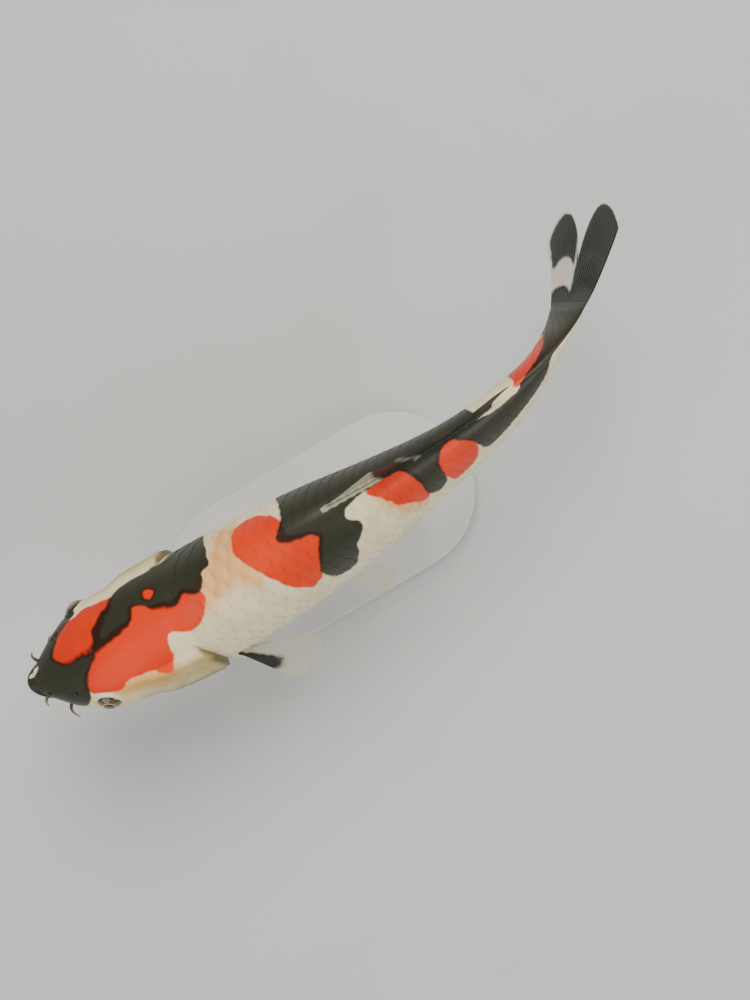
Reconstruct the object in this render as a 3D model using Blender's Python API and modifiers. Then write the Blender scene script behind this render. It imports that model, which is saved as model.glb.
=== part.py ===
"""Koi carp, a still life-size display model held over a flat base by two short rods.

Units are metres and +Z is up. The middle of the body runs along X with the head at +X, so the
fish's left side is at +Y. The origin is the centre of the underside of the stand's base.

The fish is described straight first: x runs back from the snout, y to its left and z up from the
line through its widest level. Two functions then give it its pose: the body is rolled about that
line, and the line itself is bent so that the tail sweeps to the fish's right.
"""

import math

import bmesh
import bpy
import numpy as np
from mathutils import Matrix, Vector

# Driving dimensions -----------------------------------------------------------------------------

TOTAL_LENGTH = 0.230      # snout to the tips of the tail fin
GAP = 0.0003              # clearance between neighbouring solids
ROOT_GAP = 0.0005         # the same where a thin piece stands on a curved one

# Stations of the body, in shares of the total length:
# distance from the snout, half width, height of the back, depth of the belly.
STATIONS = (
    (0.000, 0.0000, 0.0000, 0.0000),
    (0.010, 0.0160, 0.0115, 0.0130),
    (0.030, 0.0295, 0.0235, 0.0270),
    (0.060, 0.0520, 0.0400, 0.0430),
    (0.095, 0.0690, 0.0560, 0.0580),
    (0.150, 0.0760, 0.0750, 0.0745),
    (0.210, 0.0780, 0.0905, 0.0870),
    (0.260, 0.0765, 0.1010, 0.0940),
    (0.340, 0.0740, 0.1115, 0.1000),
    (0.440, 0.0645, 0.1150, 0.0980),
    (0.540, 0.0490, 0.1020, 0.0865),
    (0.640, 0.0345, 0.0830, 0.0690),
    (0.740, 0.0260, 0.0630, 0.0510),
    (0.810, 0.0170, 0.0550, 0.0460),
    (0.870, 0.0120, 0.0570, 0.0490),
)
SNOUT_DROP = 0.010        # the snout's tip lies this share of the length below the widest level
SNOUT_DROP_END = 0.150    # and the axis has risen back to it here

# Pose
HEAD_TURN = math.radians(-9.0)    # the head points a little to the fish's right
HEAD_TURN_END = 0.32
TAIL_TURN = math.radians(61)      # the tail sweeps to the fish's right
TAIL_TURN_MIDDLE = 0.808
TAIL_TURN_RUN = 0.082
BODY_ROLL = math.radians(13)      # left side up
TAIL_FIN_ROLL = math.radians(-20)
ROLL_CHANGE = (0.70, 0.90)        # where the one passes into the other
CENTRE_SHARE = 0.42               # this point of the axis stands over the middle of the base
AXIS_HEIGHT = 0.060               # height of the body's axis over the floor

# Division of the body into its parts, in shares of the total length
HEAD_FRONT = 0.0120
HEAD_REAR = 0.225
TRUNK_SPLIT = 0.450
TAIL_FRONT = 0.700
TAIL_REAR = 0.866
AROUND = 32               # facets round a section
ROW_PITCH = 0.0052        # spacing of the sections
HEAD_ROWS = 15

# Head
EYE_SHARE = 0.100
EYE_ANGLE = math.radians(70)      # from the top of the head down its side
EYE_RADIUS = 0.0041
EYE_HALF_DEPTH = 0.0034
EYE_SUNK = 0.0019
LIP_RADIUS = 0.00125
LIP_END_SHARE = 0.45              # a lip's radius at the corner of the mouth, as a share
MOUTH_HALF_WIDTH = 0.0061
MOUTH_RUN = 0.0070                # from the front of the mouth back to its corners
UPPER_LIP = (0.0018, -0.0010, -0.0043)    # front x, front z, corner z
LOWER_LIP = (0.0028, -0.0038, -0.0060)
MOUTH_SLIT = (0.0016, -0.0024, -0.0052)
GILL_COVER_FRONT = 0.150
GILL_COVER_REAR = 0.247
GILL_COVER_SWEEP = 0.035          # how far its rear edge falls forward above and below
GILL_COVER_ANGLES = (math.radians(48), math.radians(150))
GILL_COVER_WIDEST = math.radians(92)
GILL_COVER_THICK = (0.0006, 0.0017)       # at its front and at its rear edge
BARBEL_RADIUS = 0.0005
BARBEL_TIP_SHARE = 0.60
# Place along and round the head, length, and how far the tip is carried back, out and down
BARBELS = {
    "upper": (0.026, math.radians(64), 0.0036, (0.0016, 0.0, -0.0022)),
    "lower": (0.047, math.radians(106), 0.0046, (0.0030, 0.0, -0.0044)),
}

# Fins
FIN_THICKNESS = 0.0007
DORSAL_SPAN = (0.450, 0.700)      # first and last ray, along the back
DORSAL_HEIGHT = 0.0115            # of its first ray, half folded
DORSAL_REAR_SHARE = 0.45          # height of its last ray, as a share of the first
DORSAL_HOLLOW = 0.10              # how much its top edge sinks between them
DORSAL_SWEEP = math.radians(56)
ANAL_SPAN = (0.645, 0.700)
ANAL_LENGTH = 0.0240              # of its first ray
ANAL_REAR_SHARE = 0.48
ANAL_SWEEP = (math.radians(42), math.radians(52))
TAIL_ROOT_SHARE = 0.97            # height of the tail fin's root, as a share of the tail's end
TAIL_LOBE_HALF_SPAN = 0.0228
TAIL_FORK_SHARE = 0.931
TAIL_LOWER_LOBE_END = 1.006
TAIL_LOBE_TIP = 0.50      # the longest ray of a lobe, counted from the fork to its front edge
TAIL_LOBE_ROUNDING = 0.52 # how far its front corner falls back, as a share of the fork's depth
TAIL_LOBE_FULLNESS = 0.55 # under 1 the lobes are broad and the notch between them narrow
PAIRED_FINS = {
    # share of the length and angle of the root; vector along the root; middle ray's direction,
    # as back, out and up; length of the longest ray; spread of the rays; camber of the fin
    "pectoral_fin": (0.266, math.radians(124), (0.0042, 0.0, -0.0026), (0.42, 0.23, -0.89),
                     0.0340, math.radians(40), -0.0030),
    "pelvic_fin": (0.438, math.radians(150), (0.0044, -0.0004, 0.0004), (0.30, 0.27, -0.92),
                   0.0235, math.radians(27), -0.0020),
}
FAN_LONGEST = 0.25                # place of a paired fin's longest ray, counted from its front
FAN_FRONT_LOSS = 0.10             # how much shorter its first and last rays are
FAN_REAR_LOSS = 0.42

# Stand
BASE_LENGTH = 0.110
BASE_WIDTH = 0.054
BASE_THICKNESS = 0.007
BASE_EDGE = 0.0008
ROD_RADIUS = 0.0020
ROD_SHARES = {"front": 0.315, "rear": 0.555}

# Colours: base colour, roughness, metallic
SKIN_WHITE = ((0.66, 0.55, 0.30), 0.35, 0.0)
SKIN_RED = ((0.66, 0.07, 0.01), 0.35, 0.0)
SKIN_BLACK = ((0.015, 0.022, 0.010), 0.35, 0.0)
FIN_DARK = ((0.05, 0.06, 0.03), 0.40, 0.0)
FIN_PALE = ((0.45, 0.43, 0.26), 0.40, 0.0)
EYE_BLACK = ((0.010, 0.009, 0.007), 0.08, 0.0)
STAND_PALE = ((0.62, 0.61, 0.58), 0.45, 0.0)
STAND_STEEL = ((0.60, 0.60, 0.60), 0.30, 1.0)


# The shape of the body --------------------------------------------------------------------------

def smooth_step(value, low, high):
    """0 below low, 1 above high, and a smooth rise between them."""
    t = np.clip((np.asarray(value, float) - low) / (high - low), 0.0, 1.0)
    return t * t * (3.0 - 2.0 * t)


def through_stations(share, column):
    """A smooth curve through one column of the stations.

    It runs over the square root of the distance, which rounds the snout.
    """
    table = np.array(STATIONS)
    xs = np.sqrt(table[:, 0])
    ys = table[:, column]
    slopes = np.gradient(ys, xs)
    x = np.sqrt(np.clip(share, 0.0, table[-1, 0]))
    i = np.clip(np.searchsorted(xs, x, side="right") - 1, 0, len(xs) - 2)
    step = xs[i + 1] - xs[i]
    t = (x - xs[i]) / step
    return (
        (2 * t**3 - 3 * t**2 + 1) * ys[i]
        + (t**3 - 2 * t**2 + t) * step * slopes[i]
        + (-2 * t**3 + 3 * t**2) * ys[i + 1]
        + (t**3 - t**2) * step * slopes[i + 1]
    )


def section_fullness(share):
    """Exponents of the section above and below its widest level: 2 is an ellipse."""
    broad_head = np.exp(-(((share - 0.09) / 0.11) ** 2))
    full_belly = np.exp(-(((share - 0.34) / 0.20) ** 2))
    return 1.92 + 0.50 * broad_head, 2.05 + 0.30 * full_belly


def flat_surface(share, angle):
    """The straight fish's surface: angle runs from the back (0) down the left side (pi / 2)."""
    share, angle = np.broadcast_arrays(np.asarray(share, float), np.asarray(angle, float))
    half_width = through_stations(share, 1)
    back = through_stations(share, 2)
    belly = through_stations(share, 3)
    upper, lower = section_fullness(share)
    above = np.cos(angle) > 0
    power = 2.0 / np.where(above, upper, lower)
    side = np.sign(np.sin(angle)) * np.abs(np.sin(angle)) ** power
    rise = np.abs(np.cos(angle)) ** power * np.where(above, back, -belly)
    drop = SNOUT_DROP * (1.0 - smooth_step(share, 0.0, SNOUT_DROP_END))
    return TOTAL_LENGTH * np.stack([share, half_width * side, rise - drop], axis=-1)


def surface(share, angle, lift=0.0):
    """A point of the straight fish's surface, lifted off it along its normal."""
    small = 1e-3
    point = flat_surface(share, angle)
    along = flat_surface(share + small, angle) - flat_surface(share - small, angle)
    round_it = flat_surface(share, angle + small) - flat_surface(share, angle - small)
    normal = np.cross(along, round_it)
    normal /= np.linalg.norm(normal, axis=-1, keepdims=True)
    return point + normal * np.asarray(lift, float)[..., None]


def heading(share):
    """Turn of the axis from straight ahead, where a positive turn carries the tail to the right."""
    head = HEAD_TURN * (1.0 - smooth_step(share, 0.0, HEAD_TURN_END))
    tail = TAIL_TURN / (1.0 + np.exp(-(share - TAIL_TURN_MIDDLE) / TAIL_TURN_RUN))
    return head + tail


def axis_table():
    """Distances from the snout along the bent axis, and the points there."""
    share = np.linspace(-0.10, 1.15, 1251)
    turn = heading(share)
    step = (share[1] - share[0]) * TOTAL_LENGTH
    x = -np.cumsum(np.cos(turn)) * step
    y = -np.cumsum(np.sin(turn)) * step
    x -= np.interp(CENTRE_SHARE, share, x)
    y -= np.interp(CENTRE_SHARE, share, y)
    return share * TOTAL_LENGTH, x, y


AXIS = axis_table()


def roll_at(share):
    """Roll of the body about its axis, left side up."""
    return BODY_ROLL + (TAIL_FIN_ROLL - BODY_ROLL) * smooth_step(share, *ROLL_CHANGE)


def posed(points):
    """Points of the straight fish, rolled, bent along the axis and raised over the floor."""
    points = np.asarray(points, float)
    x, y, z = points[..., 0], points[..., 1], points[..., 2]
    share = x / TOTAL_LENGTH
    roll = roll_at(share)
    turn = heading(share)
    out = y * np.cos(roll) - z * np.sin(roll)
    up = y * np.sin(roll) + z * np.cos(roll)
    centre_x = np.interp(x, AXIS[0], AXIS[1])
    centre_y = np.interp(x, AXIS[0], AXIS[2])
    return np.stack(
        [centre_x - out * np.sin(turn), centre_y + out * np.cos(turn), AXIS_HEIGHT + up], axis=-1
    )


# Making objects ---------------------------------------------------------------------------------

def clear_scene():
    for obj in list(bpy.data.objects):
        bpy.data.objects.remove(obj, do_unlink=True)


def new_collection(name):
    collection = bpy.data.collections.new(name)
    bpy.context.scene.collection.children.link(collection)
    return collection


def new_material(name, finish):
    colour, roughness, metallic = finish
    material = bpy.data.materials.new(name)
    material.use_nodes = True
    shader = material.node_tree.nodes["Principled BSDF"]
    shader.inputs["Base Color"].default_value = (*colour, 1.0)
    shader.inputs["Roughness"].default_value = roughness
    shader.inputs["Metallic"].default_value = metallic
    return material


def add_object(name, data, collection, finish=None):
    """Put mesh or curve data in the scene as a named object with its own material."""
    obj = bpy.data.objects.new(name, data)
    collection.objects.link(obj)
    if finish:
        data.materials.append(new_material(name, finish))
    if data.id_type == "MESH":
        data.shade_smooth()
        data.set_sharp_from_angle(angle=math.radians(40))
    return obj


def adopt(obj, name, collection, finish=None):
    """Name an object that a Blender primitive has just made, and move it to its collection."""
    obj.name = name
    for owner in list(obj.users_collection):
        owner.objects.unlink(obj)
    collection.objects.link(obj)
    if finish:
        obj.data.materials.append(new_material(name, finish))
    return obj


def grid_faces(rows, columns, closed):
    """Quads of a grid of points, whose columns may close round."""
    faces = []
    for i in range(rows - 1):
        for j in range(columns if closed else columns - 1):
            k = (j + 1) % columns
            faces.append((i * columns + j, i * columns + k, (i + 1) * columns + k, (i + 1) * columns + j))
    return faces


def loft(name, first, last, rows, collection, finish):
    """A length of the body between two shares of its length, with a flat end at each."""
    shares = np.linspace(math.sqrt(first), math.sqrt(last), rows) ** 2
    angles = np.arange(AROUND) * 2.0 * math.pi / AROUND
    points = posed(flat_surface(shares[:, None], angles[None, :])).reshape(-1, 3)
    faces = grid_faces(rows, AROUND, closed=True)
    faces.append(tuple(reversed(range(AROUND))))
    faces.append(tuple(range((rows - 1) * AROUND, rows * AROUND)))
    mesh = bpy.data.meshes.new(name)
    mesh.from_pydata(points.tolist(), [], faces)
    return add_object(name, mesh, collection, finish)


def sheet(name, grid, thickness, collection, finish, offset=0.0, thin_share=None):
    """An open grid of points given thickness by Solidify.

    With thin_share the first row has that share of the thickness and the last row all of it.
    """
    rows, columns = grid.shape[:2]
    mesh = bpy.data.meshes.new(name)
    mesh.from_pydata(posed(grid).reshape(-1, 3).tolist(), [], grid_faces(rows, columns, closed=False))
    obj = add_object(name, mesh, collection, finish)
    solid = obj.modifiers.new("thickness", "SOLIDIFY")
    solid.thickness = thickness
    solid.offset = offset
    if thin_share is not None:
        group = obj.vertex_groups.new(name="rear")
        for i in range(rows):
            group.add(list(range(i * columns, (i + 1) * columns)), i / (rows - 1), "REPLACE")
        solid.vertex_group = group.name
        solid.thickness_vertex_group = thin_share
    return obj


def tube(name, points, radii, collection, finish=None):
    """A round tube through points of the straight fish, as a mesh with its end caps welded."""
    curve = bpy.data.curves.new(name, "CURVE")
    curve.dimensions = "3D"
    curve.bevel_depth = 1.0
    curve.bevel_resolution = 2
    curve.use_fill_caps = True
    spline = curve.splines.new("POLY")
    spline.points.add(len(points) - 1)
    for target, point, radius in zip(spline.points, posed(points), radii):
        target.co = (*point, 1.0)
        target.radius = radius
    guide = bpy.data.objects.new(name + "_guide", curve)
    collection.objects.link(guide)
    evaluated = guide.evaluated_get(bpy.context.evaluated_depsgraph_get())
    mesh = bpy.data.meshes.new_from_object(evaluated)
    bpy.data.objects.remove(guide)
    weld(mesh)
    mesh.name = name
    return add_object(name, mesh, collection, finish)


def weld(mesh):
    """Join the loose caps of a mesh that was a curve."""
    work = bmesh.new()
    work.from_mesh(mesh)
    bmesh.ops.remove_doubles(work, verts=work.verts, dist=1e-6)
    work.to_mesh(mesh)
    work.free()


def cut(obj, cutter):
    """Cut one closed piece out of another."""
    boolean = obj.modifiers.new("clear " + cutter.name, "BOOLEAN")
    boolean.operation = "DIFFERENCE"
    boolean.solver = "EXACT"
    boolean.object = cutter
    cutter.hide_render = True
    cutter.display_type = "WIRE"


# The fish ---------------------------------------------------------------------------------------

def trunk_rows(first, last):
    return max(2, round((last - first) * TOTAL_LENGTH / ROW_PITCH) + 1)


def make_trunk(parts):
    gap = GAP / TOTAL_LENGTH
    lengths = (
        ("trunk_front", HEAD_REAR, TRUNK_SPLIT, SKIN_WHITE),
        ("trunk_rear", TRUNK_SPLIT, TAIL_FRONT, SKIN_BLACK),
        ("tail_stem", TAIL_FRONT, TAIL_REAR, SKIN_BLACK),
    )
    for name, first, last, finish in lengths:
        loft(name, first + gap, last, trunk_rows(first, last), parts, finish)


def make_eye(side, name, grow, collection, finish=None):
    """A flattened ball whose short axis stands on the side of the head."""
    inner = Vector(posed(surface(EYE_SHARE, side * EYE_ANGLE, -EYE_SUNK)))
    outer = Vector(posed(surface(EYE_SHARE, side * EYE_ANGLE, 0.0)))
    bpy.ops.mesh.primitive_uv_sphere_add(segments=20, ring_count=10, radius=1.0)
    eye = adopt(bpy.context.object, name, collection, finish)
    width, depth = EYE_RADIUS + grow, EYE_HALF_DEPTH + grow
    eye.data.transform(Matrix.Diagonal((width, width, depth, 1.0)))
    eye.data.shade_smooth()
    eye.location = inner
    eye.rotation_mode = "QUATERNION"
    eye.rotation_quaternion = Vector((0.0, 0.0, 1.0)).rotation_difference(outer - inner)
    return eye


def make_lip(name, lip, grow, collection, finish=None):
    """A fleshy tube round the front of the mouth, thinner towards its corners."""
    front, front_height, corner_height = lip
    t = np.linspace(-1.0, 1.0, 17)
    points = np.stack(
        [
            front + MOUTH_RUN * (1.0 - np.cos(t * math.pi / 2)),
            MOUTH_HALF_WIDTH * np.sin(t * math.pi / 2),
            front_height + (corner_height - front_height) * t**2,
        ],
        axis=-1,
    )
    radii = LIP_RADIUS * (1.0 - (1.0 - LIP_END_SHARE) * t**2) + grow
    return tube(name, points, radii, collection, finish)


def make_head(parts, cutters):
    head = loft("head", HEAD_FRONT, HEAD_REAR, HEAD_ROWS, parts, SKIN_RED)
    for side, word in ((1, "left"), (-1, "right")):
        make_eye(side, f"eye_{word}", 0.0, parts, EYE_BLACK)
        cut(head, make_eye(side, f"socket_{word}", GAP, cutters))
    for word, lip in (("upper", UPPER_LIP), ("lower", LOWER_LIP)):
        make_lip(f"{word}_lip", lip, 0.0, parts, SKIN_BLACK)
        cut(head, make_lip(f"{word}_lip_room", lip, GAP, cutters))
    cut(head, make_lip("mouth_slit", MOUTH_SLIT, 0.0, cutters))


def make_gill_covers(parts):
    """Plates on the sides of the head, thickest at their curved rear edges."""
    front_thick, rear_thick = GILL_COVER_THICK
    along = np.linspace(0.0, 1.0, 7)[:, None]
    angles = np.linspace(*GILL_COVER_ANGLES, 10)[None, :]
    off_widest = (angles - GILL_COVER_WIDEST) / (GILL_COVER_ANGLES[1] - GILL_COVER_WIDEST)
    rear = GILL_COVER_REAR - GILL_COVER_SWEEP * off_widest**2
    shares = GILL_COVER_FRONT + (rear - GILL_COVER_FRONT) * along
    for side, word in ((1, "left"), (-1, "right")):
        inner = surface(shares, side * angles, ROOT_GAP)
        sheet(
            f"gill_cover_{word}", inner, rear_thick, parts, SKIN_WHITE,
            offset=side, thin_share=front_thick / rear_thick,
        )


def make_barbels(parts):
    """Two feelers on each side of the mouth: a short one above and a longer one at its corner.

    Each leaves the head square to its surface and then bends back and down.
    """
    t = np.linspace(0.0, 1.0, 7)[:, None]
    radii = BARBEL_RADIUS * (1.0 - (1.0 - BARBEL_TIP_SHARE) * t[:, 0])
    for word, (share, angle, length, bend) in BARBELS.items():
        for side, side_word in ((1, "left"), (-1, "right")):
            root = surface(share, side * angle, ROOT_GAP)
            out = surface(share, side * angle, ROOT_GAP + length) - root
            points = root + out * t + np.array(bend) * t**2
            tube(f"barbel_{word}_{side_word}", points, radii, parts, SKIN_BLACK)


def ridge(share, sign):
    """The line of the back (sign 1) or of the belly (sign -1), just clear of the body."""
    point = flat_surface(share, 0.0 if sign > 0 else math.pi)
    point[..., 1] = 0.0
    point[..., 2] += sign * ROOT_GAP
    return point


def make_dorsal_fin(parts):
    """A long low fin, half folded: its rays lean well back over the falling line of the back."""
    k = np.linspace(0.0, 1.0, 16)[:, None]
    t = np.linspace(0.0, 1.0, 4)[None, :]
    share = DORSAL_SPAN[0] + (DORSAL_SPAN[1] - DORSAL_SPAN[0]) * k
    height = DORSAL_HEIGHT * (1.0 - (1.0 - DORSAL_REAR_SHARE) * k**0.7)
    height = height * (1.0 - DORSAL_HOLLOW * np.sin(k * math.pi)) * t
    back = height * math.tan(DORSAL_SWEEP)
    grid = ridge(share + back / TOTAL_LENGTH, 1)
    grid[..., 2] += height
    sheet("dorsal_fin", grid, FIN_THICKNESS, parts, FIN_DARK)


def make_anal_fin(parts):
    """A short deep fin under the tail."""
    k = np.linspace(0.0, 1.0, 9)[:, None]
    t = np.linspace(0.0, 1.0, 5)[None, :]
    share = ANAL_SPAN[0] + (ANAL_SPAN[1] - ANAL_SPAN[0]) * k
    length = ANAL_LENGTH * (1.0 - (1.0 - ANAL_REAR_SHARE) * k**0.8) * t
    lean = ANAL_SWEEP[0] + (ANAL_SWEEP[1] - ANAL_SWEEP[0]) * k
    grid = ridge(share + 0.0 * t, -1)
    grid[..., 0] += length * np.sin(lean)
    grid[..., 2] -= length * np.cos(lean)
    sheet("anal_fin", grid, FIN_THICKNESS, parts, FIN_PALE)


def make_tail_fin(parts):
    """A forked fin: its rays fan out from the end of the tail to two rounded lobes."""
    b = np.linspace(-1.0, 1.0, 21)[:, None]
    t = np.linspace(0.0, 1.0, 7)[None, :]
    lobe = np.abs(b)
    root_share = TAIL_REAR + GAP / TOTAL_LENGTH
    root_half = np.where(b > 0, *(through_stations(TAIL_REAR, column) for column in (2, 3)))
    root_z = b * root_half * TAIL_ROOT_SHARE * TOTAL_LENGTH
    rise = np.sin(np.minimum(lobe / TAIL_LOBE_TIP, 1.0) * math.pi / 2) ** TAIL_LOBE_FULLNESS
    rounding = np.clip((lobe - TAIL_LOBE_TIP) / (1.0 - TAIL_LOBE_TIP), 0.0, 1.0) ** 2
    lobe_end = np.where(b > 0, 1.0, TAIL_LOWER_LOBE_END)
    reach = TAIL_FORK_SHARE + (lobe_end - TAIL_FORK_SHARE) * (rise - TAIL_LOBE_ROUNDING * rounding)
    tip_z = TAIL_LOBE_HALF_SPAN * np.sign(b) * lobe
    x = (root_share + (reach - root_share) * t) * TOTAL_LENGTH
    z = root_z + (tip_z - root_z) * t**1.2
    sheet("caudal_fin", np.stack([x, 0.0 * z, z], axis=-1), FIN_THICKNESS, parts, FIN_DARK)


def fan_grid(share, angle, chord, direction, length, spread, camber):
    """Rays of a fan-shaped fin on the left side of the straight fish."""
    chord = np.array(chord)
    direction = np.array(direction) / np.linalg.norm(direction)
    across = chord - direction * np.dot(chord, direction)
    across /= np.linalg.norm(across)
    normal = np.cross(direction, across)
    k = np.linspace(0.0, 1.0, 9)[:, None, None]
    t = np.linspace(0.0, 1.0, 6)[None, :, None]
    turn = (k - FAN_LONGEST) * spread
    ray = direction * np.cos(turn) + across * np.sin(turn)
    behind = np.clip((k - FAN_LONGEST) / (1.0 - FAN_LONGEST), 0.0, 1.0)
    before = np.clip((FAN_LONGEST - k) / FAN_LONGEST, 0.0, 1.0)
    reach = length * (1.0 - FAN_REAR_LOSS * behind**1.7 - FAN_FRONT_LOSS * before**2)
    root = surface(share, angle, ROOT_GAP + FIN_THICKNESS / 2) + chord * (k - 0.5)
    return root + ray * reach * t + normal * camber * t**2


def make_paired_fins(parts):
    for word, measures in PAIRED_FINS.items():
        left = fan_grid(*measures)
        sheet(f"{word}_left", left, FIN_THICKNESS, parts, FIN_PALE)
        sheet(f"{word}_right", left * np.array([1.0, -1.0, 1.0]), FIN_THICKNESS, parts, FIN_PALE)


# The stand --------------------------------------------------------------------------------------

def make_base(parts):
    """A flat plate with round ends and a softened edge."""
    radius = BASE_WIDTH / 2
    straight = BASE_LENGTH / 2 - radius
    curve = bpy.data.curves.new("stand_base", "CURVE")
    curve.dimensions = "2D"
    curve.fill_mode = "BOTH"
    curve.extrude = BASE_THICKNESS / 2 - BASE_EDGE
    curve.bevel_depth = BASE_EDGE
    curve.bevel_resolution = 1
    curve.offset = -BASE_EDGE
    steps = 16
    outline = []
    for end in (1, -1):
        for i in range(steps + 1):
            a = -math.pi / 2 + math.pi * i / steps
            outline.append((end * (straight + radius * math.cos(a)), end * radius * math.sin(a)))
    spline = curve.splines.new("POLY")
    spline.points.add(len(outline) - 1)
    for target, (x, y) in zip(spline.points, outline):
        target.co = (x, y, 0.0, 1.0)
    spline.use_cyclic_u = True
    base = add_object("stand_base", curve, parts, STAND_PALE)
    base.location.z = BASE_THICKNESS / 2


def make_rods(parts):
    """Upright rods from the base to the lowest line of the belly."""
    angles = np.linspace(math.pi / 2, math.pi * 3 / 2, 181)
    for word, share in ROD_SHARES.items():
        belly = posed(flat_surface(share, angles))
        x, y, top = belly[np.argmin(belly[:, 2])]
        bottom = BASE_THICKNESS + GAP
        height = top - GAP - bottom
        bpy.ops.mesh.primitive_cylinder_add(
            vertices=24, radius=ROD_RADIUS, depth=height, location=(x, y, bottom + height / 2)
        )
        rod = adopt(bpy.context.object, f"stand_rod_{word}", parts, STAND_STEEL)
        rod.data.shade_smooth()
        rod.data.set_sharp_from_angle(angle=math.radians(40))


def main():
    clear_scene()
    parts = new_collection("koi_carp")
    cutters = new_collection("cutters")
    make_head(parts, cutters)
    make_gill_covers(parts)
    make_barbels(parts)
    make_trunk(parts)
    make_dorsal_fin(parts)
    make_anal_fin(parts)
    make_tail_fin(parts)
    make_paired_fins(parts)
    make_base(parts)
    make_rods(parts)


main()
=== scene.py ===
"""Looks of the koi carp model: skin, scales, fins, eyes, barbels and stand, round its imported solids."""

import logging
import math
from abc import ABC, abstractmethod
from dataclasses import dataclass, field
from enum import Enum, IntEnum

import bmesh
import bpy
import numpy as np
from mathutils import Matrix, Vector


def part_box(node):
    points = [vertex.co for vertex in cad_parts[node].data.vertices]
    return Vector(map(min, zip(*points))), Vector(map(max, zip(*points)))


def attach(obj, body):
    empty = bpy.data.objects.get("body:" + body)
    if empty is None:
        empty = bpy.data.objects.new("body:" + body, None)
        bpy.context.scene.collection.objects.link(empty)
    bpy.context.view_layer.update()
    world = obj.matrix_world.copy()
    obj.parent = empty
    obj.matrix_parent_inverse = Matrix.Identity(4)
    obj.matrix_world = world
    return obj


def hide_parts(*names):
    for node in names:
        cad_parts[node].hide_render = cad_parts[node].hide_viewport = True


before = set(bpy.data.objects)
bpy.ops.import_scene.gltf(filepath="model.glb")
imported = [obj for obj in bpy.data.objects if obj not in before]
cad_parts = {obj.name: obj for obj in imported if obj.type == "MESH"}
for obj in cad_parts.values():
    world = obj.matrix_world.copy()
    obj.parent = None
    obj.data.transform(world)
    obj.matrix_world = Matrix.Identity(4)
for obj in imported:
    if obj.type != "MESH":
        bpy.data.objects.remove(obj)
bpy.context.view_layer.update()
SEED = 20
BAKE_MAP = "OFBake"
BAKE_PATCH = 0.003
BAKE_SHARE = 0.98
BAKE_MARGIN = 0.01
BAKE_EDGE = 0.0005
TINY = 1e-18

Array = np.ndarray
Node = bpy.types.Node
Socket = bpy.types.NodeSocket
Piece = bpy.types.Object
LOG = logging.getLogger("koi")


class Side(Enum):
    """A side of the fish, as the sign of its sideways direction."""

    LEFT = 1
    RIGHT = -1

    @property
    def word(self) -> str:
        """The side's name in the names of pieces."""
        return self.name.lower()


class Pigment(Enum):
    """What a marking does to the skin, in the order in which they lie over each other."""

    BLUSH = "blush"
    RED = "red"
    BLACK = "black"
    BARE = "bare"


class Station(IntEnum):
    """A column of the body's stations, each as a share of the length."""

    HALF_WIDTH = 1
    BACK = 2
    BELLY = 3


def ease(x: Array, low: float, high: float) -> Array:
    """Rises from 0 at low to 1 at high with level ends."""
    t = np.clip((np.asarray(x, float) - low) / (high - low), 0.0, 1.0)
    return t * t * (3.0 - 2.0 * t)


def plateau(x: Array, rise: tuple, fall: tuple) -> Array:
    """Rises from 0 to 1 over one range and falls back to 0 over another."""
    return ease(x, *rise) * (1.0 - ease(x, *fall))


def hump(distance: Array, width: float) -> Array:
    """A round bump of height 1 that fades over a width."""
    return np.exp(-((np.asarray(distance, float) / width) ** 2))


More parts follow.
